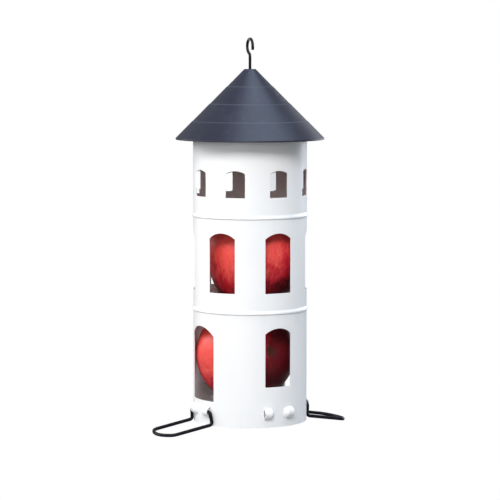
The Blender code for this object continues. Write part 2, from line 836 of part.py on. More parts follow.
def apple_mesh(name, radius):
    """A sphere reshaped: full shoulders round the stalk's cavity, a longer base with an eye."""
    bm = bmesh.new()
    bmesh.ops.create_uvsphere(
        bm, u_segments=APPLE_MERIDIANS, v_segments=APPLE_RINGS, radius=1.0
    )
    for vert in bm.verts:
        ring = math.hypot(vert.co.x, vert.co.y)
        turn = math.atan2(vert.co.y, vert.co.x)
        level = vert.co.z
        if level > 0:
            swell = ring**-APPLE_FULLNESS if ring > FINE else 1.0
            dip = APPLE_CAVITY * math.exp(-((ring / APPLE_CAVITY_SPREAD) ** 2))
            height = APPLE_SHOULDER * level - dip
        else:
            lobe = APPLE_LOBE_DEPTH * math.cos(APPLE_LOBES * turn)
            swell = 1 + level * (APPLE_TAPER + lobe)
            rise = APPLE_EYE * math.exp(-((ring / APPLE_EYE_SPREAD) ** 2))
            height = APPLE_BASE * level + rise
        vert.co = Vector((vert.co.x * swell, vert.co.y * swell, height))
    heights = [vert.co.z for vert in bm.verts]
    middle = (max(heights) + min(heights)) / 2
    bmesh.ops.translate(bm, vec=(0, 0, -middle), verts=bm.verts)
    bmesh.ops.scale(bm, vec=(radius, radius, radius), verts=bm.verts)
    return mesh_from(bm, name)


def world_points(mesh, matrix):
    return [matrix @ v.co for v in mesh.vertices]


def clearance(mesh, matrix, tree, other_points):
    """The least distance between a placed mesh and another, or a negative value on overlap."""
    points = world_points(mesh, matrix)
    faces = [tuple(p.vertices) for p in mesh.polygons]
    own = BVHTree.FromPolygons(points, faces)
    if own.overlap(tree):
        return -1.0
    least = min(tree.find_nearest(point)[3] for point in points)
    return min(least, min(own.find_nearest(point)[3] for point in other_points))


def make_apples(foot, skin, stalk_finish):
    """The lower apple lies on the pan's raised panel, and the upper apple lies on the lower."""
    turns = (
        Matrix.Rotation(LOWER_APPLE_TURN, 4, "Z") @ Matrix.Rotation(LOWER_APPLE_TILT, 4, "X"),
        Matrix.Rotation(UPPER_APPLE_TURN, 4, "Z") @ Matrix.Rotation(UPPER_APPLE_TILT, 4, "X"),
    )
    lower_mesh = apple_mesh("apple_lower", BORE_RADIUS - LOWER_APPLE_PLAY)
    upper_mesh = apple_mesh("apple_upper", BORE_RADIUS - UPPER_APPLE_PLAY)
    panel_top = PAN_HEIGHT + PAN_PANEL_RISE
    lowest = min(p.z for p in world_points(lower_mesh, turns[0]))
    lower_place = Vector((-LOWER_APPLE_LEFT, LOWER_APPLE_BACK, panel_top + GAP - lowest))
    lower_matrix = Matrix.Translation(lower_place) @ turns[0]

    lower_points = world_points(lower_mesh, lower_matrix)
    faces = [tuple(p.vertices) for p in lower_mesh.polygons]
    tree = BVHTree.FromPolygons(lower_points, faces)
    low, high = lower_place.z, lower_place.z + 2 * TUBE_RADIUS
    for _ in range(SEARCH_STEPS):
        middle = (low + high) / 2
        place = Matrix.Translation((UPPER_APPLE_RIGHT, -UPPER_APPLE_FRONT, middle))
        if clearance(upper_mesh, place @ turns[1], tree, lower_points) > GAP:
            high = middle
        else:
            low = middle
    upper_place = Matrix.Translation((UPPER_APPLE_RIGHT, -UPPER_APPLE_FRONT, high))
    upper_matrix = upper_place @ turns[1]

    for mesh, matrix, name in (
        (lower_mesh, lower_matrix, "apple_lower"),
        (upper_mesh, upper_matrix, "apple_upper"),
    ):
        apple = add_object(name, mesh, foot, skin)
        apple.matrix_local = matrix
        make_stalk(name.replace("apple", "stalk"), mesh, apple, stalk_finish)


def make_stalk(name, mesh, apple, finish):
    """A short bent stalk that stands in the apple's cavity."""

    def off_axis(corner):
        return math.hypot(corner.x, corner.y)

    pole, ring = sorted((v.co for v in mesh.vertices if v.co.z > 0), key=off_axis)[:2]
    slope = (ring.z - pole.z) / off_axis(ring)
    seat = pole.z + slope * STALK_DIAMETER / 2 + GAP
    shares = [i / STALK_SEGMENTS for i in range(STALK_SEGMENTS + 1)]
    points = [
        Vector((STALK_SWEEP * share**2, 0, seat + STALK_LENGTH * share)) for share in shares
    ]
    wire(name, points, STALK_DIAMETER, apple, finish)


def main():
    clear_scene()
    white = material("white_powder_coat", (0.84, 0.85, 0.86), 0.38)
    slate = material("slate_powder_coat", (0.075, 0.092, 0.125), 0.55)
    black = material("black_wire_coat", (0.012, 0.013, 0.018), 0.35)
    zinc = material("zinc_plate", (0.62, 0.63, 0.64), 0.32, 1.0)
    skin = material("apple_skin", (0.62, 0.045, 0.035), 0.3)
    bark = material("apple_stalk", (0.13, 0.08, 0.035), 0.7)

    foot = empty("tower_foot", location=(0, 0, -hang_height()))
    make_tower_shell(foot, white)
    make_rivets(foot, white)
    make_floor_pan(foot, white)
    make_strap(foot, zinc)
    make_roof(foot, slate)
    make_hook_rod(foot, black)
    make_rod_fixings(foot, zinc)
    make_perch("perch_left", foot, black, -math.pi / 2)
    make_perch("perch_right", foot, black, math.pi / 2)
    make_apples(foot, skin, bark)


main()
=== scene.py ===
"""Hanging bird feeder: a white steel tower with a slate cone roof, two perches, two apples.

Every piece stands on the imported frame, in metres. Heights of the tower run up from its lower
edge, and angles round it start at -Y and grow towards +X.
"""

import math

import bpy
from mathutils import Matrix, Quaternion, Vector


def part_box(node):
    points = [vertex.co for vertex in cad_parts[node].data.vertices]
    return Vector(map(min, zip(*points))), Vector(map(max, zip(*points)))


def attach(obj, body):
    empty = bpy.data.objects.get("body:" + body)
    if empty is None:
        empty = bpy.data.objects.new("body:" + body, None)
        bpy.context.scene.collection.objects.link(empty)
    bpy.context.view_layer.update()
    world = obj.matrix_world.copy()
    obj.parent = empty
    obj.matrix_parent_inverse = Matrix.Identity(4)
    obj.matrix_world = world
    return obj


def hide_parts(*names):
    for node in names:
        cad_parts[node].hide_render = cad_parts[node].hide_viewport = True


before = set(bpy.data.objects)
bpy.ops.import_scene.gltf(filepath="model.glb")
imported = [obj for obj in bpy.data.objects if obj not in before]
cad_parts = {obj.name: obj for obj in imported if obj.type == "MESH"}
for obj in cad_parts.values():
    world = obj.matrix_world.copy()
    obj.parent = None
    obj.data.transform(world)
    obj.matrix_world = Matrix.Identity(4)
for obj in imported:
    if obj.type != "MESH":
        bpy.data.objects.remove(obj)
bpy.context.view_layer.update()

bl_info = {
    "name": "Tower bird feeder",
    "version": (1, 0, 0),
    "blender": (4, 5, 0),
    "location": "View3D > Sidebar > Feeder",
    "description": "Builds the pieces and finishes of a hanging tower bird feeder",
    "category": "Object",
}

MM = 0.001
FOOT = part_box("tower_shell")[0].z
ROOF_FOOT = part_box("roof_cone")[0].z
FRONT, SIDE, UP = Vector((0, -1, 0)), Vector((1, 0, 0)), Vector((0, 0, 1))
QUARTER = math.pi / 2
SEAM_TURN, SEAM_REACH = math.radians(153), math.radians(6.2)
BEND_STEP = math.radians(7)
TUBE_SIDES, ARCH_SIDES, WIRE_SIDES, SMALL_SIDES = 240, 128, 20, 32
HAIR = 0.01 * MM
CAMERA_AIM, LAMP_AIM, FLOOR_LEVEL = -0.1842, -0.17, -0.78


def mm(name, description, millimetres):
    return bpy.props.FloatProperty(
        name=name, description=description, default=millimetres * MM, unit="LENGTH"
    )


def tilt(name, description, degrees):
    return bpy.props.FloatProperty(
        name=name, description=description, default=math.radians(degrees), subtype="ANGLE"
    )


def colour(name, description, *rgb):
    return bpy.props.FloatVectorProperty(
        name=name, description=description, default=rgb, min=0, max=1, subtype="COLOR"
    )


class TowerSizes(bpy.types.PropertyGroup):
    """Sizes of the rolled tube, its beads and its openings."""

    radius: mm("Radius", "Outer radius of the tube", 50)
    sheet: mm("Sheet", "Thickness of the sheet", 0.8)
    height: mm("Height", "Height of the tube", 263)
    lower_bead: mm("Lower bead", "Height of the lower swaged bead", 98.5)
    upper_bead: mm("Upper bead", "Height of the upper swaged bead", 180.9)
    bead_out: mm("Bead", "How far a bead stands out", 0.9)
    window_width: mm("Window width", "Width of the arched windows", 25.3)
    window_rise: mm("Window rise", "Rise of the windows' arch", 4.8)
    head_band: mm("Head band", "Sheet left between an arch and the bead above", 12.3)
    lower_sill: mm("Lower sill", "Height of the lower windows' sill", 35.1)
    middle_sill: mm("Middle sill", "Height of the middle windows' sill", 116.6)
    gate_width: mm("Gate width", "Width of the two openings above the perches", 35.2)
    gate_rise: mm("Gate rise", "Rise of the gates' arch", 8.2)
    gate_sill: mm("Gate sill", "Height of the gates' sill", 21.2)
    lookout_width: mm("Lookout width", "Width of the small top windows", 17.2)
    lookout_tall: mm("Lookout height", "Height of the small top windows", 23.2)
    lookout_rise: mm("Lookout rise", "Rise of the lookouts' arch", 2.4)
    lookout_sill: mm("Lookout sill", "Height of the lookouts' sill", 199.4)
    shutter_width: mm("Shutter width", "Width of the tab left in a lookout", 6)
    shutter_foot: mm("Shutter foot", "Gap under the tab", 6.5)
    shutter_bend: tilt("Shutter bend", "How far the tab is bent inwards", 14)
    bridge_height: mm("Bridge height", "Height of the lanced bridges", 12.2)
    bridge_tall: mm("Bridge tall", "Height of one bridge", 9.5)
    bridge_width: mm("Bridge width", "Width of one bridge", 8.8)
    bridge_out: mm("Bridge out", "How far a bridge stands out", 4.2)
    bridge_dome: mm("Bridge dome", "Length of a bridge's domed end", 3.2)
    bridge_spacing: mm("Bridge spacing", "Distance between a pair of bridges", 19)
    edge: mm("Edge", "Rounding of the cut edges", 0.09)


class RoofSizes(bpy.types.PropertyGroup):
    """Sizes of the stepped cone roof."""

    radius: mm("Radius", "Radius at the eave", 65.28)
    height: mm("Height", "Height of the roof", 61.5)
    cap: mm("Cap", "Radius of the flat cap", 5.6)
    cap_round: mm("Cap rounding", "Rounding of the cap's edge", 1.1)
    hole: mm("Hole", "Radius of the hole for the rod", 2)
    lip: mm("Lip", "Height of the eave's upright lip", 1.2)
    step_out: mm("Step out", "How far each course stands out", 0.8)
    step_down: mm("Step down", "How far each step falls", 0.5)
    courses: bpy.props.IntProperty(
        name="Courses", description="Number of courses", default=4, min=1
    )


class WireSizes(bpy.types.PropertyGroup):
    """Sizes of the hooked rod and of the perches."""

    rod_gauge: mm("Rod gauge", "Diameter of the hooked rod", 2.5)
    perch_gauge: mm("Perch gauge", "Diameter of the perches' wire", 3)
    crook: mm("Crook", "Radius of the crook's middle line", 6.5)
    neck: mm("Neck", "Radius of the bend below the crook", 3)
    tip: mm("Tip", "Straight end of the crook", 3.2)
    hinge: mm("Hinge", "Distance of a perch's hinge from the tower's axis", 49.8674)
    seated: mm("Seated end", "Wire end that lies in a bridge", 6.5)
    leg: mm("Leg", "Drop of a perch's legs", 10.7)
    leg_play: mm("Leg play", "Room between a bridge and the leg beside it", 1)
    splay: mm("Splay", "How far a leg runs outwards as it drops", 1.65)
    reach: mm("Reach", "Length of a perch's arms and bow", 44.9)
    bend: mm("Bend", "Radius of the bends at a leg", 2.6)
    corner: mm("Corner", "Radius of the bow's corners", 6.5)
    bow: mm("Bow", "Radius of the bow", 27)
    slope: tilt("Slope", "Fall of a perch's arms", 9.3)
    hook_turn: tilt("Hook turn", "Where the crook's tip points, round the axis", -8.6)


class Finishes(bpy.types.PropertyGroup):
    """Colours of the finishes."""

    white: colour("White coat", "Powder coat of the tower", 0.90, 0.905, 0.915)
    # Inside coat: the white coat tinted pink as a painted red bounce from the apples.
    inside: colour("Inside coat", "Thin coat on the tube's inner face", 0.94, 0.88, 0.86)
    dust: colour("Dust", "Weathering on the pale coat", 0.46, 0.44, 0.39)
    slate: colour("Slate coat", "Powder coat of the roof", 0.011, 0.012, 0.027)
    black: colour("Wire coat", "Coat of the wire", 0.0035, 0.0035, 0.007)
    zinc: colour("Zinc", "Plated strap and fixings", 0.60, 0.61, 0.62)
    # Apple colours: red is the far side's own deep red darkened as painted shade; crimson and
    # coral are the sun blush, coral also painted light.
    red: colour("Red skin", "Deep colour of the apples", 0.10, 0.004, 0.008)
    crimson: colour("Crimson skin", "Middle colour of the apples", 0.55, 0.016, 0.032)
    coral: colour("Coral skin", "Light colour of the apples", 0.79, 0.082, 0.070)
    yellow: colour("Yellow skin", "Streaks and spots of the apples", 0.82, 0.38, 0.09)
    # Olive: the cavity's own colour, darkened as painted shade in the hollows.
    olive: colour("Olive skin", "Skin round the stalk and the eye", 0.034, 0.020, 0.010)
    bark: colour("Stalk", "Colour of the stalks", 0.11, 0.060, 0.028)
    floor: colour("Floor", "Colour of the studio floor", 0.95, 0.95, 0.95)


# Making


def only(obj):
    """Selects this object alone."""
    bpy.ops.object.select_all(action="DESELECT")
    obj.select_set(True)
    bpy.context.view_layer.objects.active = obj


def named(obj, name):
    obj.name = name
    obj.data.name = name
    return obj


def put(obj, matrix=None):
    """Moves an object if it is given a place, and applies its place to its mesh."""
    only(obj)
    if matrix is not None:
        obj.matrix_world = matrix
    bpy.ops.object.transform_apply(location=True, rotation=True, scale=True)
    return obj


def start(kind, name, **how):
    """Adds a primitive at its size and place, alone in the selection."""
    bpy.ops.object.select_all(action="DESELECT")
    getattr(bpy.ops.mesh, f"primitive_{kind}_add")(**how)
    return put(named(bpy.context.object, name))


def cylinder(name, radius, depth, place, sides=SMALL_SIDES, rotation=(0, 0, 0)):
    sizes = {"vertices": sides, "radius": radius, "depth": depth}
    return start("cylinder", name, location=place, rotation=rotation, **sizes)


def disc(name, sides, radius, place, rotation):
    sizes = {"vertices": sides, "radius": radius, "fill_type": "NGON"}
    return start("circle", name, location=place, rotation=rotation, **sizes)


def block(name, centre, size):
    return start("cube", name, size=1, location=centre, scale=size)


def middle_of(node):
    low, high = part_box(node)
    return (low + high) / 2


def discard(obj):
    bpy.data.objects.remove(obj, do_unlink=True)


def everything():
    bpy.ops.mesh.select_all(action="SELECT")


def edit(obj, kind="VERT"):
    """Enters edit mode with everything selected."""
    only(obj)
    bpy.ops.object.mode_set(mode="EDIT")
    bpy.ops.mesh.select_mode(type=kind)
    everything()


def done():
    bpy.ops.object.mode_set(mode="OBJECT")


def pick(obj, kind, test):
    """Enters edit mode with the vertices or faces selected that pass the test."""
    edit(obj, kind)
    bpy.ops.mesh.select_all(action="DESELECT")
    done()
    for part in obj.data.vertices if kind == "VERT" else obj.data.polygons:
        part.select = test(part)
    bpy.ops.object.mode_set(mode="EDIT")


def extrude(x=0.0, y=0.0, z=0.0):
    bpy.ops.mesh.extrude_region_move(TRANSFORM_OT_translate={"value": (x, y, z)})


def resize(x=1.0, y=1.0, z=1.0, centre=(0, 0, 0)):
    bpy.ops.transform.resize(value=(x, y, z), center_override=centre)


def slice_off(place, towards, fill=False):
    """Cuts away what lies beyond a plane, on the side that it looks towards."""
    plane = {"plane_co": place, "plane_no": towards, "threshold": HAIR / 100}
    bpy.ops.mesh.bisect(clear_outer=True, use_fill=fill, **plane)


def merge_close(obj, distance):
    """Merges the points that a cut leaves close together, so that its edges round cleanly."""
    edit(obj)
    bpy.ops.mesh.remove_doubles(threshold=distance)
    done()


def face_outwards(obj):
    """Merges doubles and turns all faces of a closed shape outwards."""
    merge_close(obj, HAIR / 5)
    edit(obj)
    bpy.ops.mesh.normals_make_consistent(inside=False)
    done()


def face_towards(sheet, way):
    """Makes an open sheet's faces consistent, with the outermost one looking that way."""
    face_outwards(sheet)
    outermost = max(sheet.data.polygons, key=lambda face: face.center.dot(way))
    if outermost.normal.dot(way) < 0:
        edit(sheet)
        bpy.ops.mesh.flip_normals()
        done()


def modify(obj, kind, **settings):
    """Adds a modifier and applies it."""
    only(obj)
    modifier = obj.modifiers.new(kind.lower(), kind)
    for key, value in settings.items():
        setattr(modifier, key, value)
    bpy.ops.object.modifier_apply(modifier=modifier.name)


def cut(obj, cutter, operation="DIFFERENCE"):
    modify(obj, "BOOLEAN", object=cutter, operation=operation, solver="EXACT")
    discard(cutter)


def give_wall(obj, thickness):
    """Gives a surface its thickness, on its inner side."""
    modify(obj, "SOLIDIFY", thickness=thickness, offset=-1, use_even_offset=True)


def soften(obj, width, steps=2, angle=35):
    """Rounds the edges that are sharper than the angle."""
    limit = {"limit_method": "ANGLE", "angle_limit": math.radians(angle)}
    modify(obj, "BEVEL", width=width, segments=steps, use_clamp_overlap=False, **limit)


def shade(obj, angle=32):
    only(obj)
    bpy.ops.object.shade_smooth_by_angle(angle=math.radians(angle))
    modify(obj, "WEIGHTED_NORMAL", keep_sharp=True, weight=70)


def copies(master, places):
    """A copy with its own mesh at each place. The master is removed."""
    made = []
    for place in places:
        only(master)
        bpy.ops.object.duplicate()
        made.append(put(bpy.context.object, place))
    discard(master)
    return made


def join(objects, name):
    only(objects[0])
    for obj in objects:
        obj.select_set(True)
    bpy.ops.object.join()
    return named(objects[0], name)


def shares(count):
    """Even shares from 0 to 1."""
    return [i / count for i in range(count + 1)]


def eased(share):
    """A share that starts and ends gently."""
    return (1 - math.cos(math.pi * share)) / 2


def arc(across, up, radius, end):
    """Points of radius and height, from the top of a circle down to an angle."""
    angles = [QUARTER + (end - QUARTER) * t for t in shares(6)]
    return [(across + radius * math.cos(a), up + radius * math.sin(a)) for a in angles]


def turned(name, profile):
    """A line of radius and height, turned round the axis ring by ring."""
    (radius, height), *rest = profile
    made = start("circle", name, vertices=TUBE_SIDES, radius=radius, location=(0, 0, height))
    edit(made)
    for next_radius, next_height in rest:
        extrude(z=next_height - height)
        share = next_radius / radius
        resize(share, share)
        radius, height = next_radius, next_height
    done()
    return made


def turn(angle):
    return Matrix.Rotation(angle, 4, "Z")


def outward(angle):
    return turn(angle) @ FRONT


def facing(way):
    return way.to_track_quat("Z", "Y").to_euler()


def bore(obj, radius, place, axis, depth):
    """Drills a hole along an axis."""
    cut(obj, cylinder("drill", radius, depth, place, rotation=facing(axis)))


def feed(distance):
    return (distance, None)


def bend(radius, heading):
    return (radius, heading.normalized())


def set_back(radius, before, after):
    """How far before its corner a bend starts."""
    return radius * math.tan(before.angle(after) / 2)


def bent_wire(name, place, heading, moves, gauge):
    """Feeds a round wire along its heading and bends it to new headings."""
    heading = heading.normalized()
    place = place.copy()
    made = disc(name, WIRE_SIDES, gauge / 2, place, facing(heading))
    edit(made, "FACE")
    for amount, next_heading in moves:
        if next_heading is None:
            step = heading * amount
            extrude(*step)
            place += step
            continue
        angle = heading.angle(next_heading)
        axis = heading.cross(next_heading).normalized()
        centre = place + axis.cross(heading) * amount
        steps = max(2, round(angle / BEND_STEP))
        bpy.ops.mesh.spin(steps=steps, angle=-angle, center=centre, axis=axis)
        place = centre + Quaternion(axis, angle) @ (place - centre)
        heading = next_heading
    done()
    face_outwards(made)
    soften(made, gauge / 8, angle=60)
    shade(made, 40)
    return made


def coat(obj, *finishes):
    obj.data.materials.clear()
    for finish in finishes:
        obj.data.materials.append(finish)


def finish_piece(obj, finish, body, slot, *nodes):
    """Gives a piece its finish and body, and lets it stand for its CAD nodes. The slot is not
    used.
    """
    if finish is not None:
        coat(obj, finish)
    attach(obj, body)
    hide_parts(*nodes)


# Finishes


def joined(operation, reflected=False):
    """A method that joins two values by a Math node."""

    def method(self, other):
        return self.math(operation, *((other, self) if reflected else (self, other)))

    return method


class Value:
    """A number that varies over a surface. Arithmetic on it adds Math nodes."""

    def __init__(self, recipe, socket):
        self.recipe = recipe
        self.socket = socket

    def math(self, operation, *values):
        inputs = dict(enumerate(values))
        return self.recipe.value("ShaderNodeMath", {"operation": operation}, inputs)

    __add__ = __radd__ = joined("ADD")
    __mul__ = __rmul__ = joined("MULTIPLY")
    __sub__, __rsub__ = joined("SUBTRACT"), joined("SUBTRACT", True)
    __truediv__, __rtruediv__ = joined("DIVIDE"), joined("DIVIDE", True)
    __pow__, __rpow__ = joined("POWER"), joined("POWER", True)

    def over(self, low, high):
        """Goes smoothly from 0 at low to 1 at high."""
        settings = {"interpolation_type": "SMOOTHSTEP"}
        inputs = {"Value": self, "From Min": low, "From Max": high}
        return self.recipe.value("ShaderNodeMapRange", settings, inputs)

    def under(self, low, high):
        return 1 - self.over(low, high)

    def near(self, middle, reach):
        """1 at the middle, falling to 0 at the reach on both sides."""
        off = self - middle
        return off.math("ABSOLUTE", off).under(0, reach)


class Nodes:
    """A node tree that nodes are added to."""

    def __init__(self, owner):
        owner.use_nodes = True
        self.tree = owner.node_tree

    def node(self, kind, settings=None, inputs=None):
        """Adds a node: first its settings, then the values or links of its sockets."""
        made = self.tree.nodes.new(kind)
        for key, value in (settings or {}).items():
            setattr(made, key, value)
        for key, value in (inputs or {}).items():
            source = value.socket if isinstance(value, Value) else value
            if isinstance(source, bpy.types.NodeSocket):
                self.tree.links.new(source, made.inputs[key])
            else:
                made.inputs[key].default_value = source
        return made


class Recipe(Nodes):
    """The nodes of one finish, which starts from a plain base colour."""

    def __init__(self, name, base, **constants):
        self.material = bpy.data.materials.new(name)
        super().__init__(self.material)
        self.shader = self.tree.nodes["Principled BSDF"]
        for key, value in constants.items():
            self.shader.inputs[key.replace("_", " ")].default_value = value
        self.place = self.node("ShaderNodeTexCoord").outputs["Object"]
        self.base = base

    def value(self, kind, settings=None, inputs=None, output=0):
        return Value(self, self.node(kind, settings, inputs).outputs[output])

    def placed(self, scale=(1, 1, 1), rotation=(0, 0, 0), location=(0, 0, 0), source=None):
        inputs = {"Location": location, "Rotation": rotation, "Scale": scale}
        inputs["Vector"] = source or self.place
        return self.node("ShaderNodeMapping", None, inputs).outputs[0]

    def noise(self, scale, detail=2.0, roughness=0.5, place=None, distortion=0.0):
        inputs = {"Vector": place or self.place, "Scale": scale, "Detail": detail}
        inputs |= {"Roughness": roughness, "Distortion": distortion}
        return self.value("ShaderNodeTexNoise", None, inputs)

    def dots(self, scale, place=None):
        """Distance from the nearest of a scatter of points."""
        inputs = {"Vector": place or self.place, "Scale": scale}
        return self.value("ShaderNodeTexVoronoi", None, inputs)

    def vector(self, operation, *vectors, output=0):
        inputs = dict(enumerate(vectors))
        return self.node("ShaderNodeVectorMath", {"operation": operation}, inputs).outputs[output]

    def split(self, source):
        parts = self.node("ShaderNodeSeparateXYZ", None, {0: source}).outputs
        return [Value(self, part) for part in parts]

    def height_over(self, level):
        return self.split(self.place)[2] - level

    def blend(self, share, *pair):
        """Mixes two colours, which are links or plain."""
        one, other = [
            tint if isinstance(tint, bpy.types.NodeSocket) else (*tint[:3], 1.0) for tint in pair
        ]
        settings = {"data_type": "RGBA", "clamp_factor": True}
        return self.node("ShaderNodeMix", settings, {0: share, 6: one, 7: other}).outputs[2]

    def paint(self, tint, share):
        """Lays a colour over the base by a share that varies."""
        self.base = self.blend(share, self.base, tint)

    def bump(self, height, depth, strength=1.0, below=None):
        inputs = {"Height": height, "Distance": depth, "Strength": strength}
        if below is not None:
            inputs["Normal"] = below
        return self.node("ShaderNodeBump", None, inputs).outputs[0]

    def surface(self, **links):
        """Feeds the base colour and what else varies into the shader."""
        for key, value in {"Base_Color": self.base, **links}.items():
            source = value.socket if isinstance(value, Value) else value
            self.tree.links.new(source, self.shader.inputs[key.replace("_", " ")])
        return self.material


def colours():
    return bpy.context.scene.feeder_finishes


def powder_coat_white():
    """White powder coat: orange peel, a slight waviness of the rolled sheet, faint rain marks."""
    tower = bpy.context.scene.feeder_tower
    look = Recipe("white_powder_coat", colours().white, IOR=1.5)
    height = look.height_over(FOOT)
    cloud = look.noise(18, 3)
    look.paint((0.87, 0.88, 0.90), cloud.over(0.35, 0.7))
    runs = look.noise(1, 3, 0.6, look.placed(scale=(170, 170, 9)))
    run_down, lip, ledge = 22 * MM, 0.4 * MM, 2.0 * MM
    beads = (tower.lower_bead, tower.upper_bead)
    above = [height.under(bead - lip, bead + lip) for bead in beads]
    under = [height.over(bead - run_down, bead) * end for bead, end in zip(beads, above)]
    ledges = [height.near(bead + ledge, ledge * 1.1) for bead in beads]
    low_edge = height.under(0, 16 * MM)
    marks = (under[0] + under[1] + low_edge) * runs.over(0.5, 0.72) * 0.12
    on_ledge = (ledges[0] + ledges[1]) * look.noise(260, 3).over(0.5, 0.75)
    specks = look.dots(120).under(0.03, 0.06) * look.noise(40).over(0.55, 0.62)
    grime = marks + on_ledge * 0.2 + specks * 0.35
    look.paint(colours().dust, grime)
    wave = look.bump(look.noise(9, 1), 0.5 * MM, 0.25)
    peel = look.bump(look.noise(620, 2), 0.03 * MM, 0.5, wave)
    return look.surface(Roughness=0.33 + cloud * 0.10 + grime * 0.4, Normal=peel)


def inside_with_painted_bounce():
    """Inside white tinted pink as a painted red bounce off the apples; dust, fruit, low tide
    marks.
    """
    look = Recipe("inner_face_painted_bounce", colours().inside, IOR=1.48)
    patch = look.noise(28, 4, 0.6)
    look.paint((0.85, 0.77, 0.74), patch.over(0.3, 0.75))
    low_down = look.height_over(FOOT).under(0, 70 * MM)
    look.paint((0.36, 0.30, 0.26), low_down * look.noise(60, 4).over(0.45, 0.7) * 0.12)
    normal = look.bump(look.noise(480, 3), 0.04 * MM, 0.5)
    return look.surface(Roughness=0.5 + patch * 0.2, Normal=normal)


def courses_down(roof):
    """The height at which the roof's first course starts, and how far each course falls."""
    edge = roof.height - roof.cap_round * (1 - math.sin(QUARTER / 2))
    steps = (roof.courses - 1) * roof.step_down
    return edge, (edge - roof.lip - steps) / roof.courses


def powder_coat_slate():
    """Slate powder coat with a fine texture, dust and a painted highlight on the steps, and a worn
    eave.
    """
    roof = bpy.context.scene.feeder_roof
    look = Recipe("slate_powder_coat", colours().slate, IOR=1.5)
    height = look.height_over(ROOF_FOOT)
    cloud = look.noise(22, 4, 0.55)
    look.paint((0.013, 0.016, 0.030), cloud.over(0.3, 0.75))
    streak = look.noise(1, 3, 0.6, look.placed(scale=(120, 120, 14)))
    look.paint((0.06, 0.07, 0.095), streak.over(0.52, 0.75) * 0.15)
    grain = look.noise(1500, 2)
    look.paint((0.05, 0.058, 0.08), grain.over(0.6, 0.75) * 0.18)
    edge, fall = courses_down(roof)
    for _ in range(roof.courses - 1):
        edge -= fall
        # A lighter band at each step: dust on the ledge and a painted highlight on the step's
        # edge.
        dust_and_highlight = height.near(edge - roof.step_down * 0.6, 0.8 * MM)
        look.paint((0.10, 0.11, 0.14), dust_and_highlight * (0.12 + cloud * 0.35))
        edge -= roof.step_down
    chips = look.dots(90).under(0.04, 0.07) * look.noise(30).over(0.58, 0.64)
    wear = chips * (height.under(1.2 * MM, 3.2 * MM) + 0.15)
    look.paint((0.22, 0.22, 0.23), wear)
    normal = look.bump(grain, 0.05 * MM, 0.5, look.bump(look.noise(14, 1), 0.5 * MM, 0.2))
    return look.surface(Roughness=0.38 + cloud * 0.1 + wear * 0.1, Normal=normal)


def wire_coat():
    """Black coat on wire, rubbed to bare steel where the crook hangs."""
    look = Recipe("black_wire_coat", colours().black, IOR=1.25, Coat_Roughness=0.3)
    cloud = look.noise(90, 3)
    look.paint((0.006, 0.006, 0.011), cloud.over(0.3, 0.8))
    dust = look.noise(700, 3, 0.6).over(0.60, 0.78) * 0.07
    look.paint((0.11, 0.11, 0.12), dust)
    from_crown = Value(look, look.vector("LENGTH", look.place, output="Value"))
    rub = from_crown.under(1.6 * MM, 3.6 * MM) * look.noise(500, 3).over(0.38, 0.52)
    look.paint((0.42, 0.41, 0.40), rub)
    return look.surface(
        Roughness=0.40 + cloud * 0.12 + dust * 0.5,
        Metallic=rub * 0.9,
        Coat_Weight=0.03 - rub * 0.03,
        Normal=look.bump(look.noise(900, 2), 0.03 * MM, 0.5),
    )


def zinc_plate():
    """Zinc plate with a soft spangle and a dull bloom."""
    look = Recipe("zinc_plate", colours().zinc, IOR=1.5)
    look.paint((0.50, 0.51, 0.53), look.dots(260).over(0.1, 0.7))
    bloom = look.noise(70, 4).over(0.5, 0.75) * 0.5
    look.paint((0.70, 0.70, 0.70), bloom)
    normal = look.bump(look.noise(800, 2), 0.02 * MM, 0.5)
    return look.surface(Metallic=1 - bloom * 0.6, Roughness=0.28 + bloom * 0.4, Normal=normal)


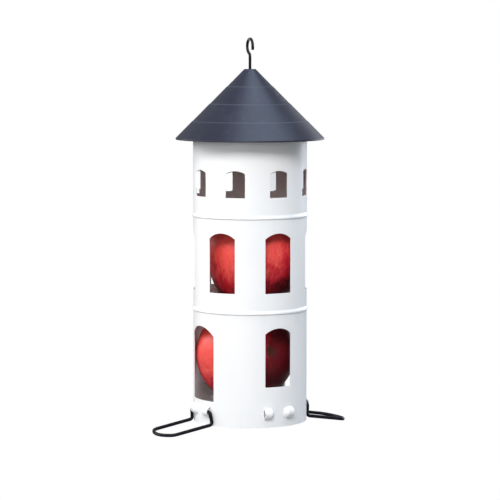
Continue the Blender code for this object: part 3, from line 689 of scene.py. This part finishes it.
def apple_skin(name, centre, upright, radius, blush_and_light_way):
    """Waxy skin, coral towards one way and deep red away from it: the apple's sun blush together
    with painted light on that side and painted shade on the other.

    Streaks run from stalk to eye, with pale pores, and an olive cavity and eye darkened as painted
    shade in the hollows.
    """
    look = Recipe(name, colours().red, IOR=1.3, Coat_Roughness=0.3)
    into = upright.to_matrix().to_4x4().inverted()
    own = look.placed((1, 1, 1), into.to_euler(), -(into @ centre))
    own = look.placed((1 / radius,) * 3, source=own)
    x, y, z = look.split(own)
    ray = look.vector("NORMALIZE", own)
    off_axis = (x * x + y * y) ** 0.5
    flattened = {0: x / off_axis, 1: y / off_axis, 2: z * 0.35}
    along = look.node("ShaderNodeCombineXYZ", None, flattened).outputs[0]
    streaks = look.noise(15, 5, 0.62, along, 1.0)
    fine = look.noise(46, 4, 0.6, along, 0.3)
    sun = into.to_3x3() @ Vector(blush_and_light_way).normalized()
    facing_blush_and_light = Value(look, look.vector("DOT_PRODUCT", ray, sun, output="Value"))
    mottle = look.noise(5, 4, 0.6, own) - 0.5
    # Blush and painted light: coral towards the given way, deep red away from it as painted shade.
    blush_and_light = (facing_blush_and_light + (streaks - 0.5) * 0.8 + mottle * 0.6).over(0.0, 1.0)
    look.paint(colours().crimson, blush_and_light.over(0.0, 0.4))
    look.paint(colours().coral, blush_and_light.over(0.4, 1.0))
    gold = streaks.over(0.55, 0.75) * blush_and_light * 0.25 + fine.over(0.62, 0.80) * blush_and_light * 0.22
    look.paint(colours().yellow, gold)
    look.paint((0.20, 0.006, 0.010), fine.under(0.30, 0.46) * 0.4)
    # Olive round the stalk and the eye, darkened as painted shade in these hollows.
    cavity = off_axis.under(0.24, 0.56) * z.over(0.15, 0.45)
    eye = off_axis.under(0.04, 0.16) * z.under(-0.9, -0.6)
    ring = (cavity + eye) * (0.45 + streaks * 0.6)
    look.paint(colours().olive, ring)
    pores = look.dots(17, ray).under(0.035, 0.075)
    look.paint((0.85, 0.52, 0.30), pores * blush_and_light * 0.4)
    return look.surface(
        Roughness=0.38 + ring * 0.25 + streaks * 0.12,
        Coat_Weight=0.02 + blush_and_light * 0.03,
        Normal=look.bump(look.noise(60, 3) - pores * 0.3, 0.12 * MM, 0.35),
    )


def stalk_bark():
    """Dry brown stalk with fibres along it."""
    look = Recipe("apple_stalk_bark", (0.05, 0.028, 0.014), IOR=1.4)
    fibres = look.noise(1, 4, 0.7, look.placed(scale=(1900, 1900, 320)))
    patch = look.noise(260, 3)
    look.paint(colours().bark, fibres.over(0.3, 0.75))
    look.paint((0.12, 0.13, 0.04), patch.over(0.5, 0.8) * 0.5)
    return look.surface(Roughness=0.62 + patch * 0.2, Normal=look.bump(fibres, 0.2 * MM, 0.6))


def studio_floor():
    """Pale matt floor. The background's white takes over further out, and it bounces little."""
    look = Recipe("studio_floor", colours().floor, Roughness=0.9)
    x, y, _ = look.split(look.place)
    far_out = ((x * x + y * y) ** 0.5).over(0.5, 1.5)
    seen = look.value("ShaderNodeLightPath", output="Is Camera Ray")
    look.paint((0.93, 0.93, 0.935), look.noise(30, 3).over(0.3, 0.7))
    look.base = look.blend(seen, (0.32, 0.32, 0.31), look.base)
    look.surface(Normal=look.bump(look.noise(300, 2), 0.1 * MM, 0.3))
    glow = look.node("ShaderNodeEmission", None, {"Color": (1, 1, 1, 1), "Strength": 1.0})
    sides = {0: seen * far_out, 1: look.shader.outputs[0], 2: glow.outputs[0]}
    mix = look.node("ShaderNodeMixShader", None, sides)
    look.tree.links.new(mix.outputs[0], look.tree.nodes["Material Output"].inputs["Surface"])
    return look.material


# Pieces


def bead_line(lip, radius, out):
    """One swaged bead from its foot up: a short tuck, a rounded lip and a long easing slope."""
    tuck, crown, slope = 0.8 * MM, 0.5 * MM, 2.9 * MM
    line = [(radius + out * eased(t), lip - tuck / 2 + tuck * t) for t in shares(4)]
    top = lip + tuck / 2 + crown
    line.append((radius + out, top))
    for t in shares(8)[1:]:
        rise = (1 + math.cos(math.pi * t)) / 2
        line.append((radius + out * rise, top + slope * t))
    return line


def plain_rows(radius, low, high):
    """Even rows between two heights, which keep the shading beside an opening local.

    At this spacing no row runs close beside a sill, a crest or a slot.
    """
    spacing = 4.6 * MM
    rows = round((high - low) / spacing)
    return [(radius, low + (high - low) * i / rows) for i in range(1, rows)]


def wall_line(tower, extra=0.0, trim=0.0):
    """The tube's outer line from bottom to top."""
    radius = tower.radius + extra
    line = [(radius, trim)]
    for lip in (tower.lower_bead, tower.upper_bead):
        bead = bead_line(lip, radius, tower.bead_out)
        line += plain_rows(radius, line[-1][1], bead[0][1]) + bead
    line += plain_rows(radius, line[-1][1], tower.height - trim)
    line.append((radius, tower.height - trim))
    return [(r, FOOT + z) for r, z in line]


def arch_radius(width, rise):
    return (width**2 / 4 + rise**2) / (2 * rise)


def arched_cutter(tower, name, width, sill, crest, rise):
    """A punch with a segmental head: a disc's top segment, drawn down to the sill and back."""
    radius = arch_radius(width, rise)
    reach = tower.radius + 6 * MM
    depth = reach - tower.radius * 0.72
    place = (0, -reach, FOOT + crest - radius)
    made = disc(name, ARCH_SIDES, radius, place, (QUARTER, 0, 0))
    edit(made)
    spring = FOOT + crest - rise
    slice_off((0, 0, spring), -UP)
    done()
    pick(made, "VERT", lambda point: point.co.z < spring + HAIR)
    extrude(z=FOOT + sill - spring)
    everything()
    extrude(y=depth)
    done()
    face_outwards(made)
    return made


def opening_rows(tower):
    """Each punch's name, width, sill, crest and rise, and the turns that it is used at."""
    low = tower.lower_bead - tower.head_band
    high = tower.upper_bead - tower.head_band
    top = tower.lookout_sill + tower.lookout_tall
    wide, rise = tower.window_width, tower.window_rise
    yield "lower", wide, tower.lower_sill, low, rise, (0, 180)
    yield "gate", tower.gate_width, tower.gate_sill, low, tower.gate_rise, (90, 270)
    yield "middle", wide, tower.middle_sill, high, rise, range(0, 360, 60)
    lookout = (tower.lookout_width, tower.lookout_sill, top, tower.lookout_rise)
    yield "lookout", *lookout, range(0, 360, 45)


def bridge_places(tower):
    """Where the bridges stand: in pairs, each with its open end away from its twin."""
    half = math.asin(tower.bridge_spacing / 2 / tower.radius)
    lift = Matrix.Translation(UP * (FOOT + tower.bridge_height))
    return [
        turn(QUARTER * i + side) @ lift @ Matrix.Rotation(flip, 4, "Y")
        for i in range(4)
        for side, flip in ((half, 0), (-half, math.pi))
    ]


def make_bridge(tower):
    """An oval hood pushed out of the wall at the front: domed on the left, open on the right."""
    root = tower.radius - tower.sheet * 0.8
    out = tower.radius + tower.bridge_out - root
    dome_end = tower.bridge_dome - tower.bridge_width / 2
    ball = {"segments": 32, "ring_count": 32, "radius": 1.0}
    made = start("uv_sphere", "bridge", rotation=(0, QUARTER, 0), **ball)
    edit(made)
    for away in (SIDE, -FRONT):
        slice_off((0, 0, 0), away)
        everything()
    resize(tower.bridge_dome, out, tower.bridge_tall / 2)
    bpy.ops.transform.translate(value=(dome_end, -root, 0))
    done()
    pick(made, "VERT", lambda point: point.co.x > dome_end - HAIR)
    extrude(x=tower.bridge_width - tower.bridge_dome)
    done()
    face_towards(made, FRONT)
    give_wall(made, tower.sheet)
    soften(made, tower.edge)
    return made


def make_shutter(tower):
    """One tab at the front: bent in about its left edge, its head cut along the arch."""
    hinge = -tower.lookout_width / 2
    bow = arch_radius(tower.lookout_width, tower.lookout_rise)
    crest = tower.lookout_sill + tower.lookout_tall - 0.15 * MM

    def head(across):
        return FOOT + crest - bow + math.sqrt(bow**2 - across**2)

    foot = FOOT + tower.lookout_sill + tower.shutter_foot
    low_head, high_head = head(hinge), head(hinge + tower.shutter_width)
    root = tower.sheet / 2
    size = (tower.shutter_width + root, tower.sheet * 0.9, high_head - foot)
    made = block("shutter", ((tower.shutter_width - root) / 2, 0, (foot + high_head) / 2), size)
    edit(made)
    slope = Vector((tower.shutter_width, 0, high_head - low_head)).normalized()
    slice_off((0, 0, low_head), Vector((-slope.z, 0, slope.x)), fill=True)
    done()
    face_outwards(made)
    soften(made, tower.edge)
    edge = math.asin(hinge / tower.radius)
    place = outward(edge) * (tower.radius - tower.sheet / 2)
    return put(made, Matrix.Translation(place) @ turn(edge + tower.shutter_bend))


def make_seam(tower):
    """The outer lap at the back, with the beads rolled through it."""
    made = turned("seam", wall_line(tower, tower.sheet, 4 * MM))
    middle = outward(SEAM_TURN)

    def off_seam(face):
        flat = Vector((face.center.x, face.center.y, 0)).normalized()
        return flat.dot(middle) < math.cos(SEAM_REACH)

    pick(made, "FACE", off_seam)
    bpy.ops.mesh.delete(type="FACE")
    done()
    face_towards(made, middle)
    give_wall(made, tower.sheet * 1.1)
    soften(made, tower.edge, 2, 60)
    return made


def make_tower_wall(tower):
    """The tube, turned as one closed ring, then punched, rounded and joined with its forms."""
    outer = wall_line(tower)
    inner = [(radius - tower.sheet, height) for radius, height in reversed(outer)]
    wall = turned("tower_wall", outer + inner + outer[:1])
    merge_close(wall, HAIR)
    face_outwards(wall)
    punches = []
    for name, width, sill, crest, rise, turns in opening_rows(tower):
        punch = arched_cutter(tower, name, width, sill, crest, rise)
        punches += copies(punch, [turn(math.radians(degrees)) for degrees in turns])
    slot_start = tower.bridge_dome * 0.65 - tower.bridge_width / 2
    slot_end = tower.bridge_width / 2
    slot_tall, through = tower.bridge_tall - 3.4 * tower.sheet, 12 * MM
    slot_size = (slot_end - slot_start, through, slot_tall)
    slot = block("slot", ((slot_start + slot_end) / 2, -tower.radius, 0), slot_size)
    punches += copies(slot, bridge_places(tower))
    cut(wall, join(punches, "punches"))
    merge_close(wall, 0.13 * MM)
    soften(wall, tower.edge, 2, 60)
    white = powder_coat_white()
    # Inner faces take the pink-tinted inside colour, a painted red bounce from the apples.
    coat(wall, white, inside_with_painted_bounce())
    for face in wall.data.polygons:
        flat = Vector((face.center.x, face.center.y, 0))
        face.material_index = 1 if face.normal.dot(flat) < -0.5 * flat.length else 0

    forms = copies(make_bridge(tower), bridge_places(tower))
    forms += copies(make_shutter(tower), [turn(QUARTER / 2 * i) for i in range(8)])
    forms.append(make_seam(tower))
    for form in forms:
        coat(form, white)
    wall = join([wall] + forms, "tower_wall")
    shade(wall)
    return wall


class FEEDER_OT_tower_wall(bpy.types.Operator):
    """Roll, swage, punch and lance the tower wall, white outside and tinted pink inside as a
    painted red bounce from the apples
    """

    bl_idname = "feeder.tower_wall"
    bl_label = "Tower wall"

    def execute(self, context):
        wall = make_tower_wall(context.scene.feeder_tower)
        finish_piece(wall, None, "tower", "tower_coat", "tower_shell")
        return {"FINISHED"}


def make_rivet(grip):
    """One rivet with its head up: a domed head, a shank through its grip and an upset tail."""
    head_radius, head_height, sunk = 2.6 * MM, 1.3 * MM, 0.3 * MM
    shank_radius, shank_spare = 1.3 * MM, 0.5 * MM
    tail_radius, tail_height, tail_round = 1.95 * MM, 1.0 * MM, 0.35 * MM
    head = start("uv_sphere", "rivet", segments=32, ring_count=16, radius=head_radius)
    edit(head)
    slice_off((0, 0, 0), -UP, fill=True)
    everything()
    resize(z=head_height / head_radius)
    bpy.ops.transform.translate(value=(0, 0, sunk))
    done()
    shank_middle = (0, 0, 0.35 * MM - grip / 2)
    shank = cylinder("shank", shank_radius, grip + shank_spare, shank_middle)
    tail = cylinder("tail", tail_radius, tail_height, (0, 0, -grip - tail_height / 2))
    soften(tail, tail_round, 3)
    rivet = join([head, shank, tail], "rivet")
    face_outwards(rivet)
    shade(rivet)
    return rivet


class FEEDER_OT_rivets(bpy.types.Operator):
    """Set the rivets of the seam and of the strap"""

    bl_idname = "feeder.rivets"
    bl_label = "Rivets"

    def execute(self, context):
        white = bpy.data.materials["white_powder_coat"]
        tower = context.scene.feeder_tower
        on_seam = (SEAM_TURN, tower.radius + tower.sheet, 1.9 * MM)
        rows = [(f"seam_rivet_{i}", *on_seam) for i in range(1, 7)]
        for i, angle in ((1, -QUARTER), (2, QUARTER)):
            rows.append((f"strap_rivet_{i}", angle, tower.radius, 3.4 * MM))
        for node, angle, distance, grip in rows:
            place = outward(angle) * distance + UP * middle_of(node).z
            matrix = Matrix.Translation(place) @ turn(angle) @ Matrix.Rotation(QUARTER, 4, "X")
            rivet = put(named(make_rivet(grip), node + "_head"), matrix)
            finish_piece(rivet, white, "tower", "rivet_coat", node)
        return {"FINISHED"}


class FEEDER_OT_floor_pan(bpy.types.Operator):
    """Press the floor: raised middle, gutter with drain holes, turned-down flange"""

    bl_idname = "feeder.floor_pan"
    bl_label = "Floor pan"

    def execute(self, context):
        tower = context.scene.feeder_tower
        low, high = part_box("floor_pan")
        play, rise, corner, drain = 0.35 * MM, 4.5 * MM, 1.4 * MM, 2.25 * MM
        flat, slope_start, slope, gutter_start = 21.4 * MM, 22 * MM, 5.2 * MM, 27 * MM
        rim = tower.radius - tower.sheet - play
        gutter = high.z - rise
        line = [(flat, high.z)]
        line += [(slope_start + slope * t, high.z - rise * eased(t)) for t in shares(8)]
        line += arc(rim - corner, gutter - corner, corner, 0) + [(rim, low.z)]
        pan = turned("pan_pressing", line)
        pick(pan, "VERT", lambda point: point.co.xy.length < flat + 0.2 * MM)
        bpy.ops.mesh.edge_face_add()
        done()
        face_towards(pan, UP)
        give_wall(pan, tower.sheet)
        ring = (gutter_start + tower.radius - tower.sheet) / 2
        places = [outward(math.tau * (i + 0.5) / 8) * ring + UP * gutter for i in range(8)]
        drains = [cylinder("drain", drain, 6 * MM, place) for place in places]
        cut(pan, join(drains, "drains"))
        merge_close(pan, 0.13 * MM)
        soften(pan, 0.09 * MM, 2, 50)
        shade(pan)
        white = bpy.data.materials["white_powder_coat"]
        finish_piece(pan, white, "tower", "pan_coat", "floor_pan")
        return {"FINISHED"}


class FEEDER_OT_top_strap(bpy.types.Operator):
    """Bend the strap down at both ends and drill it for the rod and the rivets"""

    bl_idname = "feeder.top_strap"
    bl_label = "Top strap"

    def execute(self, context):
        low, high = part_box("top_strap")
        thick, round_off, rod_bore, rivet_bore = 1.5 * MM, 2.0 * MM, 1.55 * MM, 1.6 * MM
        wide, leg = high.y - low.y, high.z - low.z - round_off
        foot = (high.x - thick / 2, 0, low.z)
        bar = start("plane", "strap_bar", size=wide, location=foot)
        edit(bar, "FACE")
        resize(thick / wide, centre=foot)
        extrude(z=leg)
        over = Vector((high.x - round_off, 0, high.z - round_off))
        corner = {"steps": 6, "angle": QUARTER, "axis": (0, 1, 0)}
        bpy.ops.mesh.spin(center=over, **corner)
        extrude(x=-2 * over.x)
        bpy.ops.mesh.spin(center=(-over.x, 0, over.z), **corner)
        extrude(z=-leg)
        done()
        face_outwards(bar)
        bore(bar, rod_bore, (0, 0, high.z), UP, 8 * MM)
        bore(bar, rivet_bore, (0, 0, middle_of("strap_rivet_1").z), SIDE, 120 * MM)
        soften(bar, 0.25 * MM)
        shade(bar)
        finish_piece(bar, zinc_plate(), "tower", "strap_zinc", "top_strap")
        return {"FINISHED"}


def roof_line():
    """Outer line of the roof from the rod's hole to the eave."""
    roof = bpy.context.scene.feeder_roof
    line = [(roof.hole, roof.height), (roof.hole + 0.6 * MM, roof.height)]
    bend_from = (roof.cap - roof.cap_round, roof.height - roof.cap_round)
    line += arc(*bend_from, roof.cap_round, QUARTER / 2)
    radius = line[-1][0]
    height, fall = courses_down(roof)
    steps = roof.courses - 1
    run = (roof.radius - radius - steps * roof.step_out) / roof.courses
    for course in range(roof.courses):
        line += [(radius + run * t, height - fall * t) for t in (0.03, 0.35, 0.7, 0.97, 1)]
        radius += run
        height -= fall
        if course < steps:
            for out, down in ((0.15, 0.08), (0.8, 0.75), (1, 1)):
                line.append((radius + roof.step_out * out, height - roof.step_down * down))
            radius, height = line[-1]
    line += [(roof.radius, roof.lip * 0.5), (roof.radius, 0)]
    return [(r, ROOF_FOOT + z) for r, z in line]


class FEEDER_OT_roof(bpy.types.Operator):
    """Press the stepped cone roof"""

    bl_idname = "feeder.roof"
    bl_label = "Roof"

    def execute(self, context):
        roof = turned("roof_pressing", roof_line())
        face_towards(roof, UP)
        give_wall(roof, context.scene.feeder_tower.sheet)
        soften(roof, 0.2 * MM, 3, 40)
        shade(roof, 25)
        finish_piece(roof, powder_coat_slate(), "roof", "roof_coat", "roof_cone")
        return {"FINISHED"}


class FEEDER_OT_hook_rod(bpy.types.Operator):
    """Bend one wire: straight through the roof, a swan neck and a crook"""

    bl_idname = "feeder.hook_rod"
    bl_label = "Hooked rod"

    def execute(self, context):
        wires = context.scene.feeder_wires
        across = outward(wires.hook_turn)
        centre = wires.rod_gauge / 2 - wires.crook - 0.06 * MM
        drop = math.sqrt(wires.crook**2 + 2 * wires.neck * wires.crook)
        lean = math.asin(drop / (wires.neck + wires.crook))
        foot = Vector((0, 0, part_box("hook_rod")[0].z + 0.1 * MM))
        moves = [
            feed(centre - drop - foot.z),
            bend(wires.neck, UP * math.cos(lean) - across * math.sin(lean)),
            bend(wires.crook, across),
            bend(wires.crook, -UP),
            feed(wires.tip),
        ]
        hook = bent_wire("hook_wire", foot, UP, moves, wires.rod_gauge)
        finish_piece(hook, wire_coat(), "hanger", "rod_coat", "hook_rod")
        return {"FINISHED"}


class FEEDER_OT_fixings(bpy.types.Operator):
    """Make the washer, nut and lock nut under the strap"""

    bl_idname = "feeder.fixings"
    bl_label = "Washer and nuts"

    def execute(self, context):
        zinc = bpy.data.materials["zinc_plate"]
        drill, washer_radius, washer_bore, nut_bore = 6 * MM, 4.5 * MM, 1.5 * MM, 1.45 * MM
        corner, ball_radius = 2.75 * MM / math.cos(math.pi / 6), 3.16 * MM
        low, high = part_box("rod_washer")
        middle = (0, 0, (low.z + high.z) / 2)
        washer = cylinder("washer_disc", washer_radius, high.z - low.z, middle, 64)
        bore(washer, washer_bore, (0, 0, low.z), UP, drill)
        soften(washer, 0.12 * MM)
        shade(washer)
        finish_piece(washer, zinc, "hanger", "fixing_zinc", "rod_washer")
        ball = {"segments": 64, "ring_count": 32, "radius": ball_radius}
        for node, degrees in (("rod_nut", 17), ("rod_lock_nut", 40)):
            low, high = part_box(node)
            middle = (0, 0, (low.z + high.z) / 2)
            rotation = (0, 0, math.radians(degrees))
            nut = cylinder(node + "_hex", corner, high.z - low.z, middle, 6, rotation)
            cut(nut, start("uv_sphere", "dome", location=middle, **ball), "INTERSECT")
            bore(nut, nut_bore, middle, UP, drill)
            merge_close(nut, 0.07 * MM)
            soften(nut, 0.04 * MM, 2, 25)
            shade(nut, 25)
            finish_piece(nut, zinc, "hanger", "fixing_zinc", node)
        return {"FINISHED"}


def back(way):
    """The same way on a perch's return, towards the tower and up again."""
    return Vector((way.x, -way.y, -way.z))


def perch_moves(wires, tip, half, lean):
    """The feeds and bends of one perch, from one seated end to the other."""
    arm = Vector((0, -math.cos(wires.slope), -math.sin(wires.slope)))
    leg = Vector((wires.splay, -lean, -wires.leg))
    drop = leg.length
    room = wires.bow - wires.corner
    part = (half - wires.corner) / room
    along = wires.reach - wires.bow + math.sqrt(room**2 - (part * room) ** 2)
    into_bow = arm * part - SIDE * math.sqrt(1 - part**2)
    at_top, at_foot = set_back(wires.bend, SIDE, leg), set_back(wires.bend, leg, arm)
    end = feed(half - wires.splay - tip - at_top)
    drop, along = feed(drop - at_top - at_foot), feed(along - at_foot)
    out = [end, bend(wires.bend, leg), drop, bend(wires.bend, arm), along]
    bow = [bend(wires.corner, into_bow), bend(wires.bow, back(into_bow)), bend(wires.corner, -arm)]
    home = [along, bend(wires.bend, back(leg)), drop, bend(wires.bend, SIDE), end]
    return out + bow + home


class FEEDER_OT_perches(bpy.types.Operator):
    """Bend two wires with splayed legs, straight arms and a bowed front"""

    bl_idname = "feeder.perches"
    bl_label = "Perches"

    def execute(self, context):
        wires = context.scene.feeder_wires
        tower = context.scene.feeder_tower
        gauge = wires.perch_gauge
        pair = tower.bridge_spacing + tower.bridge_width
        tip = pair / 2 - wires.seated
        half = (pair + gauge) / 2 + wires.leg_play + wires.splay
        rest = math.sqrt(tower.radius**2 - half**2) + gauge / 2 + 0.3 * MM
        moves = perch_moves(wires, tip, half, rest - wires.hinge)
        perch = bent_wire("perch", Vector((tip, 0, 0)), SIDE, moves, gauge)
        black = bpy.data.materials["black_wire_coat"]
        level = UP * (FOOT + tower.bridge_height)
        words, turns = ("left", "right"), (-QUARTER, QUARTER)
        places = [Matrix.Translation(outward(a) * wires.hinge + level) @ turn(a) for a in turns]
        for word, wire in zip(words, copies(perch, places)):
            named(wire, "perch_wire_" + word)
            finish_piece(wire, black, word + "_perch", "perch_coat", "perch_" + word)
        return {"FINISHED"}


def smooth_from(node, name):
    """A smooth piece on a CAD node's own form: merged, in quads and subdivided."""
    made = bpy.data.objects.new(name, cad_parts[node].data.copy())
    bpy.context.scene.collection.objects.link(made)
    made.data.name = name
    for key in list(made.data.attributes.keys()):
        if key.startswith("custom"):
            made.data.attributes.remove(made.data.attributes[key])
    merge_close(made, HAIR)
    edit(made)
    bpy.ops.mesh.tris_convert_to_quads(face_threshold=math.pi, shape_threshold=math.pi)
    bpy.ops.mesh.mark_sharp(clear=True)
    done()
    modify(made, "SUBSURF", levels=2, render_levels=2)
    only(made)
    bpy.ops.object.shade_smooth()
    return made


class FEEDER_OT_apples(bpy.types.Operator):
    """Grow two apples on their CAD forms, each with its stalk and its own skin"""

    bl_idname = "feeder.apples"
    bl_label = "Apples"

    def execute(self, context):
        bark = stalk_bark()
        swell = 1.012
        # Each apple's blush way, which also paints its lit side coral and its far side dark as
        # painted shade.
        for word, blush_and_light_way in (("lower", (-1.0, -0.1, 0.55)), ("upper", (-0.70, -0.62, 0.60))):
            fruit, stalk = "apple_" + word, "stalk_" + word
            low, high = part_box(fruit)
            centre = middle_of(fruit)
            axis = (middle_of(stalk) - centre).normalized()
            apple = smooth_from(fruit, "fruit_" + word)
            edit(apple)
            resize(swell, swell, swell, centre)
            done()
            upright, radius = axis.to_track_quat("Z", "Y"), (high.x - low.x) / 2
            skin = apple_skin("apple_skin_" + word, centre, upright, radius, blush_and_light_way)
            finish_piece(apple, skin, "tower", "apple_skin", fruit)
            twig = smooth_from(stalk, "twig_" + word)
            finish_piece(twig, bark, "tower", "apple_stalk", stalk)
        return {"FINISHED"}


# Stage


def stand(data, place, way):
    """Stands a lamp or a camera at a place, looking that way."""
    obj = bpy.data.objects.new(data.name, data)
    bpy.context.scene.collection.objects.link(obj)
    obj.location = place
    obj.rotation_euler = way.to_track_quat("-Z", "Y").to_euler()
    return obj


def area_light(name, turn_to, rise, distance, size, watts, tint):
    """A softbox that looks at the tower from a turn round it and a rise above it."""
    turn_to, rise = math.radians(turn_to), math.radians(rise)
    way = outward(turn_to) * math.cos(rise) + UP * math.sin(rise)
    lamp = bpy.data.lights.new(name, "AREA")
    lamp.shape = "RECTANGLE"
    lamp.size, lamp.size_y = size
    lamp.energy, lamp.color = watts, tint
    stand(lamp, UP * LAMP_AIM + way * distance, -way)


def make_world(strength, tint):
    """Soft sky light, with plain white where the camera looks at it."""
    world = bpy.data.worlds.new("studio_sky")
    bpy.context.scene.world = world
    sky = Nodes(world)
    sky.tree.nodes.clear()
    sides = {0: sky.node("ShaderNodeLightPath").outputs["Is Camera Ray"]}
    for side, shown, power in ((1, tint, strength), (2, (1, 1, 1), 1.0)):
        inputs = {"Color": (*shown, 1), "Strength": power}
        sides[side] = sky.node("ShaderNodeBackground", None, inputs).outputs[0]
    mix = sky.node("ShaderNodeMixShader", None, sides)
    sky.node("ShaderNodeOutputWorld", None, {"Surface": mix.outputs[0]})


class FEEDER_OT_stage(bpy.types.Operator):
    """Set up the camera, soft lamps, white surroundings and a pale floor"""

    bl_idname = "feeder.stage"
    bl_label = "Stage"

    def execute(self, context):
        scene = context.scene
        scene.view_settings.view_transform = "Standard"
        azimuth, distance, height = math.radians(-30.1), 2.010, 0.0001
        eye = Vector((math.sin(azimuth) * distance, -math.cos(azimuth) * distance, height))
        camera = bpy.data.cameras.new("camera")
        camera.lens, camera.sensor_width = 164.9, 36
        scene.camera = stand(camera, eye, UP * CAMERA_AIM - eye)
        make_world(0.23, (0.95, 0.97, 1.0))
        warm, cool, blue = (1.0, 0.99, 0.975), (0.88, 0.93, 1.0), (0.66, 0.80, 1.0)
        area_light("key", -34, 39, 2.2, (1.1, 0.7), 35, warm)
        area_light("left", -100, 34, 2.2, (1.2, 1.2), 19, warm)
        area_light("left_rim", -142, 20, 2.2, (0.9, 0.9), 19, warm)
        area_light("front", -54, 11, 2.4, (0.8, 0.6), 7, warm)
        area_light("fill", 40, 44, 2.4, (1.4, 1.2), 5, cool)
        area_light("right_rim", 108, 12, 2.4, (1.0, 0.9), 30, cool)
        area_light("top", 36, 76, 1.5, (1.3, 1.3), 17, blue)
        floor = start("plane", "studio_floor", size=14, location=(0, 0, FLOOR_LEVEL))
        coat(floor, studio_floor())
        return {"FINISHED"}


# Add-on


OPERATORS = (
    FEEDER_OT_tower_wall,
    FEEDER_OT_rivets,
    FEEDER_OT_floor_pan,
    FEEDER_OT_top_strap,
    FEEDER_OT_roof,
    FEEDER_OT_hook_rod,
    FEEDER_OT_fixings,
    FEEDER_OT_perches,
    FEEDER_OT_apples,
    FEEDER_OT_stage,
)


class FEEDER_PT_build(bpy.types.Panel):
    """Lists the pieces of the feeder."""

    bl_label = "Bird feeder"
    bl_space_type = "VIEW_3D"
    bl_region_type = "UI"
    bl_category = "Feeder"

    def draw(self, context):
        for operator in OPERATORS:
            self.layout.operator(operator.bl_idname)


GROUPS = {
    "feeder_tower": TowerSizes,
    "feeder_roof": RoofSizes,
    "feeder_wires": WireSizes,
    "feeder_finishes": Finishes,
}
CLASSES = (*GROUPS.values(), *OPERATORS, FEEDER_PT_build)


def register():
    for kind in CLASSES:
        bpy.utils.register_class(kind)
    for name, group in GROUPS.items():
        setattr(bpy.types.Scene, name, bpy.props.PointerProperty(type=group))


def unregister():
    for name in GROUPS:
        delattr(bpy.types.Scene, name)
    for kind in reversed(CLASSES):
        bpy.utils.unregister_class(kind)


def main():
    register()
    for operator in OPERATORS:
        group, name = operator.bl_idname.split(".")
        getattr(getattr(bpy.ops, group), name)()


if __name__ == "__main__":
    main()
